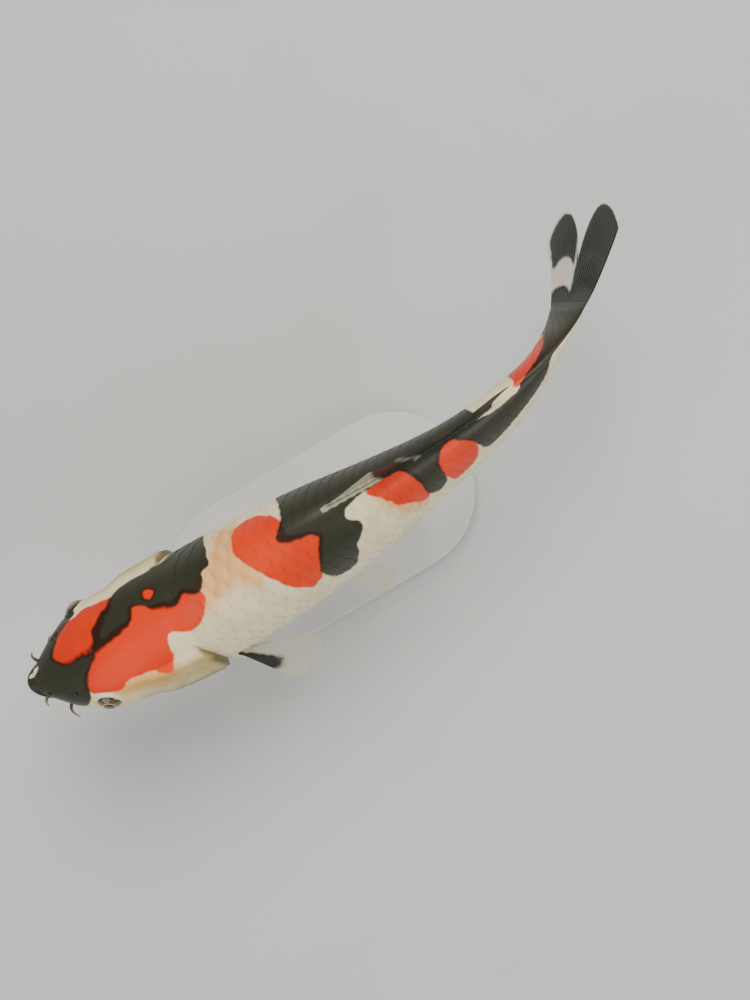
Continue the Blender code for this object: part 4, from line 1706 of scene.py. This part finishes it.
    def unwrap(self, obj: Piece, chosen: list, both: Array, faces: Array) -> None:
        """Gives each scale a small patch at its root's place on the skin's flat layout.

        Args:
            obj: The piece.
            chosen: The scales' places and tones.
            both: Each scale's points: share, angle, height, place along and across.
            faces: Point numbers of the faces.
        """
        root = np.array([
            (place[0], both[k, self.across // 2, 1]) for k, (place, _) in enumerate(chosen)
        ])
        angle = np.arctan2(np.sin(root[:, 1]), np.cos(root[:, 1]))
        centre_u = 0.5 + angle / (2.0 * math.pi)
        centre_v = root[:, 0] / Skin.last_row * BAKE_SHARE + BAKE_MARGIN
        u = centre_u[:, None] + both[..., 4] * BAKE_PATCH / 2
        v = centre_v[:, None] + both[..., 3] * BAKE_PATCH
        uv = np.clip(np.stack([u, v], axis=-1).reshape(-1, 2), BAKE_EDGE, 1.0 - BAKE_EDGE)
        layer = obj.data.uv_layers.new(name=BAKE_MAP)
        layer.data.foreach_set("uv", uv[faces.ravel()].astype(np.float32).ravel())


@dataclass
class Fin(ABC):
    """A fin as a thin closed sheet whose rays stand out on both faces."""

    body: BodyForm
    name: str = ""
    rays: int = 16
    steps: int = 34
    per_ray: int = 8
    membrane: float = 0.00022
    ray_thickness: float = 0.00040
    root_thickness: float = 0.0012
    root_run: float = 0.06
    rays_rise: tuple = (-0.02, -0.01)
    rays_thinning: float = 0.55
    branch: tuple = (0.42, 0.67)
    branch_height: float = 0.8
    branch_sharpness: float = 1.5
    rim_span: tuple = (0.90, 1.0)
    rim_thinning: float = 0.75
    scallop: float = 0.007
    scallop_span: tuple = (0.75, 1.0)

    @abstractmethod
    def mid(self, k: Array, t: Array) -> Array:
        """Points of the straight fish, at k (0 to 1) across the rays and t (0 to 1) along them."""

    @abstractmethod
    def seat(self, k: Array) -> Array:
        """Points inside the body where the rays are rooted, at k across the rays."""

    def ink(self, k: Array, t: Array) -> Array:
        """How black the fin is at each point."""
        return 0.0 * k * t

    def warm(self, k: Array, t: Array) -> Array:
        """How red the fin is at each point."""
        return 0.0 * k * t

    def ray(self, k: Array, t: Array) -> Array:
        """How near a point lies to the middle of a ray, or of its branches towards the rim.

        Args:
            k: Places across the rays.
            t: Places along them.

        Returns:
            1 on a ray and 0 on the membrane.
        """
        turn = k * self.rays * 2.0 * math.pi
        single = (0.5 - 0.5 * np.cos(turn)) ** 2
        double = (0.5 - 0.5 * np.cos(turn * 2.0)) ** self.branch_sharpness
        share = ease(t, *self.branch)
        return single * (1.0 - share) + double * share * self.branch_height

    def edge(self, k: Array, t: Array) -> Array:
        """Places along the rays, with the rim drawn in a little between them."""
        between = 0.5 + 0.5 * np.cos(k * self.rays * 2.0 * math.pi)
        return t * (1.0 - self.scallop * between * ease(t, *self.scallop_span))

    def build(self, nodes: tuple[str, ...]) -> Piece:
        """Makes the fin's mesh.

        Args:
            nodes: The solids that it stands for.

        Returns:
            The fin's object.
        """
        columns = self.rays * self.per_ray + 1
        k = np.linspace(0.0, 1.0, columns)[None, :]
        t = np.linspace(0.0, 1.0, self.steps)[:, None]
        grid = np.concatenate([self.seat(k), self.mid(k + 0.0 * t, self.edge(k, t))], axis=0)
        reach = np.concatenate([0.0 * k, t + 0.0 * k], axis=0)
        across = np.broadcast_to(k, reach.shape)
        ray = self.ray(across, reach)
        proud = ray * ease(reach, *self.rays_rise)
        rim = 1.0 - self.rim_thinning * ease(reach, *self.rim_span)
        thick = (self.membrane + self.ray_thickness * proud * (1.0 - self.rays_thinning * reach)) * rim
        thick += self.root_thickness * hump(reach, self.root_run)
        normal = np.cross(np.gradient(grid, axis=0), np.gradient(grid, axis=1))
        normal /= np.linalg.norm(normal, axis=-1, keepdims=True) + TINY
        offset = normal * thick[..., None] / 2
        points = np.stack([self.body.posed(grid + offset), self.body.posed(grid - offset)])
        obj = make_object(self.name, points, sheet_faces(self.steps + 1, columns).tolist())
        face_outward(obj)
        ink, warm = self.ink(across, reach), self.warm(across, reach)
        for name, value in (("ray", ray), ("reach", reach), ("ink", ink), ("warm", warm)):
            store(obj, name, np.tile((value + 0.0 * reach).ravel(), 2))
        FinFinish().dress(obj)
        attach(obj, "root")
        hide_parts(*nodes)
        return obj


@dataclass
class EdgeFin(Fin):
    """A fin that stands on the line of the back or of the belly.

    Its root is told by how far it lies before the rays' feet, as a share of the length, and by its
    height over the line in metres.
    """

    edge_angle: float = 0.0
    span: tuple = (0.0, 1.0)
    rear_share: float = 0.5
    fall: float = 1.0
    root: tuple = (0.0, 0.0)

    def crest(self, share: Array) -> Array:
        """Points of the straight fish along the line."""
        return self.body.flat(share, self.edge_angle) * np.array([1.0, 0.0, 1.0])

    def foot(self, k: Array) -> Array:
        """Shares of the length where the rays leave the body."""
        return self.span[0] + (self.span[1] - self.span[0]) * k

    def drop(self, k: Array) -> Array:
        """Length of each ray as a share of the first one."""
        return 1.0 - (1.0 - self.rear_share) * k**self.fall

    def seat(self, k: Array) -> Array:
        """Roots two millimetres under the skin."""
        return self.crest(self.foot(k) - self.root[0]) + np.array([0.0, 0.0, self.root[1]])


@dataclass
class DorsalFin(EdgeFin):
    """The long low fin of the back, half folded, pale at the front and again past the middle."""

    name: str = "fin_of_back"
    rays: int = 20
    span: tuple = (0.450, 0.700)
    rear_share: float = 0.45
    fall: float = 0.7
    root: tuple = (0.004, -0.002)
    height: float = 0.0115
    hollow: float = 0.10
    sweep: float = math.radians(56.0)
    slant: float = 0.30
    front_edge: tuple = (0.27, 0.40)
    front_paleness: float = 0.92
    pale_streak: tuple = (0.54, 0.06, 0.45)

    def mid(self, k: Array, t: Array) -> Array:
        """Rays that lean well back over the falling line of the back.

        Args:
            k: Places across the rays.
            t: Places along them.

        Returns:
            Points of the straight fish.
        """
        height = self.height * self.drop(k) * (1.0 - self.hollow * np.sin(k * math.pi)) * t
        lean = height * math.tan(self.sweep)
        grid = self.crest(self.foot(k) + lean / self.body.length)
        grid[..., 2] += height
        return grid

    def ink(self, k: Array, t: Array) -> Array:
        """How black the fin is at each point.

        Args:
            k: Places across the rays.
            t: Places along them.

        Returns:
            1 where it is black and 0 where it is pale.
        """
        place = k + self.slant * t
        front = 1.0 - ease(place, *self.front_edge)
        middle, width, paleness = self.pale_streak
        streak = paleness * hump(place - middle, width)
        return np.clip(1.0 - self.front_paleness * front - streak, 0.0, 1.0)


@dataclass
class AnalFin(EdgeFin):
    """The short deep fin under the tail."""

    name: str = "fin_under_tail"
    rays: int = 8
    edge_angle: float = math.pi
    span: tuple = (0.645, 0.700)
    rear_share: float = 0.48
    fall: float = 0.8
    root: tuple = (0.006, 0.002)
    length: float = 0.0240
    sweep: tuple = (math.radians(42.0), math.radians(52.0))

    def mid(self, k: Array, t: Array) -> Array:
        """Rays that lean back, the first ones longest.

        Args:
            k: Places across the rays.
            t: Places along them.

        Returns:
            Points of the straight fish.
        """
        length = self.length * self.drop(k) * t
        lean = self.sweep[0] + (self.sweep[1] - self.sweep[0]) * k
        grid = self.crest(self.foot(k) + 0.0 * t)
        grid[..., 0] += length * np.sin(lean)
        grid[..., 2] -= length * np.cos(lean)
        return grid


@dataclass
class TailFin(Fin):
    """The forked fin, whose rays fan out from the end of the tail to two rounded lobes."""

    name: str = "fin_of_tail"
    rays: int = 24
    steps: int = 46
    root: float = 0.8673
    root_share: float = 0.97
    root_thickness: float = 0.0
    rays_rise: tuple = (0.11, 0.30)
    half_span: float = 0.0228
    fork_share: float = 0.931
    lower_end: float = 1.006
    lobe_tip: float = 0.50
    rounding: float = 0.52
    fullness: float = 0.55
    opening: float = 1.2
    seat_share: float = 0.90
    seat_depth: float = 0.016
    upper_edge: tuple = (0.43, 0.53)
    upper_clearing: tuple = (0.95, 0.45)
    root_fade: tuple = (0.16, 0.36)
    spot_lower_edge: tuple = (-0.03, 0.07)
    spot_upper_edge: tuple = (0.41, 0.49)
    spot_start: tuple = (0.46, 0.62)
    spot_clearing: tuple = (0.93, 0.7)
    warmth: tuple = (0.25, 0.40, 0.20, 0.42)

    def mid(self, k: Array, t: Array) -> Array:
        """Rays from the lower edge (k 0) to the upper edge (k 1).

        Args:
            k: Places across the rays.
            t: Places along them.

        Returns:
            Points of the straight fish.
        """
        b = 2.0 * k - 1.0
        lobe = np.abs(b)
        root_z = self.root_z(b)
        rise = np.sin(np.minimum(lobe / self.lobe_tip, 1.0) * math.pi / 2) ** self.fullness
        turned = np.clip((lobe - self.lobe_tip) / (1.0 - self.lobe_tip), 0.0, 1.0) ** 2
        end = np.where(b > 0, 1.0, self.lower_end)
        reach = self.fork_share + (end - self.fork_share) * (rise - self.rounding * turned)
        tip_z = self.half_span * np.sign(b) * lobe
        x = (self.root + (reach - self.root) * t) * self.body.length
        z = root_z + (tip_z - root_z) * t**self.opening
        return np.stack([x, 0.0 * z, z], axis=-1)

    def root_z(self, b: Array) -> Array:
        """Heights of the rays' roots over the axis, from -1 at the belly to 1 at the back."""
        back, belly = (self.body.measure(self.body.tail_end, end) for end in (Station.BACK, Station.BELLY))
        return b * np.where(b > 0, back, belly) * self.root_share * self.body.length

    def seat(self, k: Array) -> Array:
        """Roots inside the end of the tail."""
        x, z = self.root - self.seat_depth, self.root_z(2.0 * k - 1.0) * self.seat_share
        return np.stack([x * self.body.length + 0.0 * z, 0.0 * z, z], axis=-1)

    def cleared(self, t: Array, start: float, loss: float) -> Array:
        """What the clear rim leaves of the black, from a start along the rays."""
        return 1.0 - loss * ease(t, start, 1.0)

    def ink(self, k: Array, t: Array) -> Array:
        """Black at the root, over the upper lobe and at the lower lobe's end, with a clear rim.

        Args:
            k: Places across the rays.
            t: Places along them.

        Returns:
            1 where it is black and 0 where it is pale.
        """
        upper = ease(k, *self.upper_edge) * self.cleared(t, *self.upper_clearing)
        root = 1.0 - ease(t, *self.root_fade)
        spot = plateau(k, self.spot_lower_edge, self.spot_upper_edge)
        spot = spot * ease(t, *self.spot_start) * self.cleared(t, *self.spot_clearing)
        return np.maximum(np.maximum(upper, root), spot)

    def warm(self, k: Array, t: Array) -> Array:
        """A little red along the middle of the lower lobe."""
        across, along, width, strength = self.warmth
        return strength * hump(k - across, width) * hump(t - along, width)


@dataclass
class PairedFin(Fin):
    """A fan-shaped fin on one side, with the sizes of the breast's."""

    side: Side = Side.LEFT
    share: float = 0.266
    angle: float = math.radians(124.0)
    chord: tuple = (0.0042, 0.0, -0.0026)
    direction: tuple = (0.42, 0.23, -0.89)
    length: float = 0.0340
    spread: float = math.radians(40.0)
    camber: float = -0.0030
    longest: float = 0.25
    front_loss: float = 0.10
    rear_loss: float = 0.42
    rear_power: float = 1.7
    lift: float = 0.00085
    seat_lift: float = -0.0016
    seat_depth: float = 0.002
    seat_share: float = 0.8
    streak: float = 1.0
    streak_width: tuple = (0.06, 0.52)
    streak_end: tuple = (0.40, 0.92)

    def frame_of_rays(self) -> tuple[Array, Array, Array]:
        """Directions of the fan.

        Returns:
            Unit lengths along the middle ray, across the rays and out of the fan.
        """
        along = np.array(self.direction) / np.linalg.norm(self.direction)
        chord = np.array(self.chord)
        across = chord - along * np.dot(chord, along)
        across /= np.linalg.norm(across)
        return along, across, np.cross(along, across)

    def mid(self, k: Array, t: Array) -> Array:
        """Rays that fan out from a short root, the foremost ones longest.

        Args:
            k: Places across the rays.
            t: Places along them.

        Returns:
            Points of the straight fish.
        """
        along, across, normal = self.frame_of_rays()
        k, t = k[..., None], t[..., None]
        turn = (k - self.longest) * self.spread
        ray = along * np.cos(turn) + across * np.sin(turn)
        behind = np.clip((k - self.longest) / (1.0 - self.longest), 0.0, 1.0)
        before = np.clip((self.longest - k) / self.longest, 0.0, 1.0)
        lost = self.rear_loss * behind**self.rear_power
        reach = self.length * (1.0 - lost - self.front_loss * before**2)
        root = self.body.lifted(self.share, self.angle, self.lift) + np.array(self.chord) * (k - 0.5)
        return self.mirrored(root + ray * reach * t + normal * self.camber * t**2)

    def seat(self, k: Array) -> Array:
        """Roots just under the skin.

        Args:
            k: Places across the rays.

        Returns:
            Points of the straight fish.
        """
        root = self.body.lifted(self.share, self.angle, self.seat_lift)
        chord = np.array(self.chord) * (k[..., None] - 0.5) * self.seat_share
        return self.mirrored(root + chord - self.frame_of_rays()[0] * self.seat_depth)

    def mirrored(self, points: Array) -> Array:
        """The points on this fin's own side."""
        return points * np.array([1.0, self.side.value, 1.0])

    def ink(self, k: Array, t: Array) -> Array:
        """A dark streak over the first rays that fades towards the rim."""
        beside = self.streak * (1.0 - ease(k, *self.streak_width))
        return beside * (1.0 - ease(t, *self.streak_end))


@dataclass
class BellyFin(PairedFin):
    """The smaller pale fin on one side of the belly."""

    rays: int = 9
    share: float = 0.438
    angle: float = math.radians(150.0)
    chord: tuple = (0.0044, -0.0004, 0.0004)
    direction: tuple = (0.30, 0.27, -0.92)
    length: float = 0.0235
    spread: float = math.radians(27.0)
    camber: float = -0.0020
    streak: float = 0.0


@dataclass
class Eyes:
    """Two eyes, each a flattened ball with its short axis square to the head."""

    body: BodyForm
    socket: EyeSocket = EyeSocket()
    around: int = 64
    rings: int = 40
    clearance: float = 0.00004
    visible_turn: float = math.radians(60.0)
    rear_mark: float = 3.0

    def build(self) -> list[Piece]:
        """Makes both eyes."""
        return [self.eye(side) for side in Side]

    def eye(self, side: Side) -> Piece:
        """Makes one eye.

        Args:
            side: Its side.

        Returns:
            The eye's object.
        """
        socket = self.socket
        inner, outer = (
            Vector(self.body.posed(self.body.lifted(socket.share, side.value * socket.angle, lift)))
            for lift in (-socket.sunk, 0.0)
        )
        turn = np.linspace(0.0, math.pi, self.rings + 1)[1:-1][:, None]
        around = round_angles(self.around)
        width, depth = socket.radius - self.clearance, socket.half_depth - self.clearance
        radius = width * np.sin(turn)
        ring = np.stack(
            np.broadcast_arrays(radius * np.cos(around), radius * np.sin(around), depth * np.cos(turn)),
            axis=-1,
        ).reshape(-1, 3)
        points = np.concatenate([[[0.0, 0.0, depth]], ring, [[0.0, 0.0, -depth]]])
        rotation = Vector((0.0, 0.0, 1.0)).rotation_difference(outer - inner).to_matrix()
        posed = points @ np.array(rotation).T + np.array(inner)
        faces = (grid_quads(self.rings - 1, self.around, closed=True) + 1)[:, ::-1].tolist()
        last = len(points) - 1
        for j in range(self.around):
            k = (j + 1) % self.around
            faces.append([0, 1 + j, 1 + k])
            faces.append([last, last - self.around + k, last - self.around + j])
        eye = make_object(f"eyeball_{side.word}", posed, faces)
        face_outward(eye)
        from_axis = np.repeat(turn[:, 0] / self.visible_turn, self.around)
        store(eye, "from_axis", np.concatenate([[0.0], from_axis, [self.rear_mark]]))
        EyeFinish().dress(eye)
        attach(eye, "root")
        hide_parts(f"eye_{side.word}")
        return eye


@dataclass
class Barbels:
    """Two pairs of feelers at the mouth."""

    body: BodyForm
    radius: float = 0.0005
    tip_share: float = 0.45
    tip_round: tuple = (0.90, 0.102)
    least_radius: float = 0.02
    root_gap: float = 0.0005
    root_depth: float = 0.55
    around: int = 18
    rows: int = 26
    feelers: tuple = (
        ("upper", 0.026, math.radians(64.0), 0.0036, (0.0016, 0.0, -0.0022)),
        ("lower", 0.047, math.radians(106.0), 0.0046, (0.0030, 0.0, -0.0044)),
    )

    def build(self) -> list[Piece]:
        """Makes the four feelers."""
        return [self.feeler(side, *measures) for measures in self.feelers for side in Side]

    def feeler(
        self, side: Side, word: str, share: float, angle: float, length: float, bend: tuple
    ) -> Piece:
        """Makes one feeler.

        Args:
            side: Its side.
            word: Which pair it belongs to.
            share: Its root's share of the length.
            angle: Its root's angle.
            length: How far it stands out.
            bend: How far its tip is carried back and down.

        Returns:
            The feeler's object.
        """
        place = side.value * angle
        root = self.body.lifted(share, place, self.root_gap)
        out = self.body.lifted(share, place, self.root_gap + length) - root
        t = np.linspace(-self.root_depth, 1.0, self.rows)[:, None]
        reach = np.clip(t[:, 0], 0.0, 1.0)
        line = root + out * t + np.array(bend) * np.maximum(t, 0.0) ** 2
        start, run = self.tip_round
        tip = np.clip((t[:, 0] - start) / run, 0.0, 1.0)
        radii = self.radius * (1.0 - (1.0 - self.tip_share) * reach)
        radii *= np.sqrt(1.0 - tip**2) + self.least_radius
        tangent = np.gradient(line, axis=0)
        tangent /= np.linalg.norm(tangent, axis=-1, keepdims=True)
        first = np.cross(tangent, np.array([0.0, 0.0, 1.0]))
        first /= np.linalg.norm(first, axis=-1, keepdims=True)
        second = np.cross(tangent, first)
        turn = round_angles(self.around)[:, None]
        ring = first[:, None] * np.cos(turn) + second[:, None] * np.sin(turn)
        points = self.body.posed(line[:, None] + ring * radii[:, None, None])
        faces = grid_quads(self.rows, self.around, closed=True).tolist()
        faces.append(list(range(self.around)))
        faces.append(list(range((self.rows - 1) * self.around, self.rows * self.around)))
        feeler = make_object(f"feeler_{word}_{side.word}", points, faces)
        face_outward(feeler)
        store(feeler, "reach", np.repeat(reach, self.around))
        BarbelFinish().dress(feeler)
        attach(feeler, "root")
        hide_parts(f"barbel_{word}_{side.word}")
        return feeler


@dataclass
class Stand:
    """The flat base and the two rods, with a turned collar at the foot of each rod."""

    radius: float = 0.0044
    height: float = 0.0036
    edge: float = 0.0006
    foot: float = 1.2
    crown: float = 0.4
    neck: float = 0.0009
    play: float = 0.00008
    lift: float = 0.0001
    arc_points: int = 9
    around: int = 48
    sharp_angle: float = 35.0
    paint: Finish = GroundFinish(
        "stand_paint", (0.60, 0.59, 0.56, 1.0), (0.56, 0.55, 0.52, 1.0), 900.0, 0.42
    )
    steel: Finish = GroundFinish(
        "stand_steel", (0.62, 0.62, 0.62, 1.0), (0.52, 0.52, 0.53, 1.0), 1500.0, 0.26, metallic=1.0
    )

    def build(self) -> list[Piece]:
        """Dresses the solids of the stand and adds the collars.

        Returns:
            The collars.
        """
        self.paint.dress(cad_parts["stand_base"])
        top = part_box("stand_base")[1].z
        collars = []
        for word in ("front", "rear"):
            self.steel.dress(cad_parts[f"stand_rod_{word}"])
            low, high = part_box(f"stand_rod_{word}")
            centre = ((low.x + high.x) / 2, (low.y + high.y) / 2, top + self.lift)
            collars.append(self.collar(word, centre, (high.x - low.x) / 2))
        return collars

    def profile(self, bore: float) -> Array:
        """Half the section of a collar.

        Args:
            bore: The rod's radius.

        Returns:
            Distances from the rod's middle and heights, in metres.
        """
        inner, neck = bore + self.play, bore + self.neck
        foot = self.edge * self.foot
        rise = self.height - foot - self.edge * self.crown
        turn = np.linspace(0.0, math.pi / 2, self.arc_points)
        arc = np.stack([neck + (self.radius - neck) * np.cos(turn), foot + rise * np.sin(turn)], axis=-1)
        start = [(inner, 0.0), (self.radius, 0.0), (self.radius, foot)]
        return np.concatenate([start, arc, [(inner, self.height)]])

    def collar(self, word: str, centre: tuple, bore: float) -> Piece:
        """Turns one collar.

        Args:
            word: Which rod it belongs to.
            centre: The middle of its foot.
            bore: The rod's radius.

        Returns:
            The collar.
        """
        line = self.profile(bore)
        turn = round_angles(self.around)
        x = centre[0] + line[:, :1] * np.cos(turn)
        y = centre[1] + line[:, :1] * np.sin(turn)
        z = centre[2] + line[:, 1:] + 0.0 * turn
        points = np.stack([x, y, z], axis=-1)
        faces = grid_quads(len(line) + 1, self.around, closed=True) % (len(line) * self.around)
        obj = make_object(f"stand_collar_{word}", points, faces.tolist(), self.sharp_angle)
        face_outward(obj)
        self.steel.dress(obj)
        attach(obj, "root")
        return obj


@dataclass
class Studio:
    """A pale floor, soft lights and a camera over the fish."""

    camera_place: tuple = (-0.0213, -0.0011, 0.510)
    camera_turn: float = math.radians(150.0)
    view_height: float = 0.2964
    view_distance: float = 0.45
    film: float = 24.0
    nearest: float = 0.01
    floor_size: float = 3.0
    floor_finish: Finish = GroundFinish(
        "floor_pale", (0.56, 0.56, 0.54, 1.0), (0.54, 0.54, 0.52, 1.0), 90.0, 0.80
    )
    lamps: tuple = (
        ("key", (-0.35, -0.55, 1.05), 0.75, 15.0, (1.0, 0.985, 0.95)),
        ("fill", (0.75, 0.35, 0.85), 1.1, 6.5, (0.96, 0.98, 1.0)),
        ("rim", (-0.55, 0.75, 0.60), 0.6, 5.0, (1.0, 1.0, 1.0)),
    )
    lamp_target: tuple = (0.0, 0.0, 0.06)
    sky: tuple = (0.90, 0.91, 0.93, 1.0)
    sky_strength: float = 0.30

    def build(self) -> None:
        """Makes the floor, the lights, the world and the camera."""
        self.floor()
        for lamp in self.lamps:
            self.light(*lamp)
        world = bpy.data.worlds.new("studio")
        world.use_nodes = True
        sky = world.node_tree.nodes["Background"]
        NodeSheet(world.node_tree).feed(sky, {"Color": self.sky, "Strength": self.sky_strength})
        bpy.context.scene.world = world
        self.camera()

    def floor(self) -> None:
        """Lays the floor."""
        signs = np.array([[-1.0, -1.0, 0.0], [1.0, -1.0, 0.0], [1.0, 1.0, 0.0], [-1.0, 1.0, 0.0]])
        corners = self.floor_size / 2 * signs
        floor = make_object("floor", corners, [[0, 1, 2, 3]])
        self.floor_finish.dress(floor)

    def light(self, name: str, place: tuple, size: float, power: float, colour: tuple) -> None:
        """Hangs a square soft light that looks at the fish.

        Args:
            name: Its name.
            place: Where it hangs.
            size: Length of its side.
            power: Its power in watts.
            colour: Its colour.
        """
        data = bpy.data.lights.new(name, "AREA")
        data.size, data.energy, data.color = size, power, colour
        lamp = bpy.data.objects.new(name, data)
        lamp.location = place
        lamp.rotation_mode = "QUATERNION"
        lamp.rotation_quaternion = (Vector(self.lamp_target) - Vector(place)).to_track_quat("-Z", "Y")
        bpy.context.scene.collection.objects.link(lamp)

    def camera(self) -> None:
        """Hangs the camera straight over the fish, turned as the fish is seen."""
        data = bpy.data.cameras.new("camera")
        data.sensor_width = self.film
        data.lens = self.film / 2 / (self.view_height / 2 / self.view_distance)
        data.clip_start = self.nearest
        camera = bpy.data.objects.new("camera", data)
        camera.location = self.camera_place
        camera.rotation_euler = (0.0, 0.0, self.camera_turn)
        bpy.context.scene.collection.objects.link(camera)
        bpy.context.scene.camera = camera


def report(piece: Piece) -> None:
    """Logs a piece's name and its number of faces."""
    LOG.info("%s: %d faces", piece.name, len(piece.data.polygons))


def main() -> None:
    """Builds and dresses the koi and its stand."""
    logging.basicConfig(level=logging.INFO, format="%(name)s %(message)s")
    body = BodyForm()
    marks = MarkingMap()
    Studio().build()
    skin = Skin(body)
    report(skin.build(marks))
    for piece in ScaleCoat(body, skin.cover).build(marks):
        report(piece)
    report(DorsalFin(body).build(("dorsal_fin",)))
    report(AnalFin(body).build(("anal_fin",)))
    report(TailFin(body).build(("caudal_fin",)))
    for side in Side:
        breast = PairedFin(body, name=f"fin_of_breast_{side.word}", side=side)
        report(breast.build((f"pectoral_fin_{side.word}",)))
        belly = BellyFin(body, name=f"fin_of_belly_{side.word}", side=side)
        report(belly.build((f"pelvic_fin_{side.word}",)))
    for piece in Eyes(body, skin.eye).build() + Barbels(body).build() + Stand().build():
        report(piece)


if __name__ == "__main__":
    main()
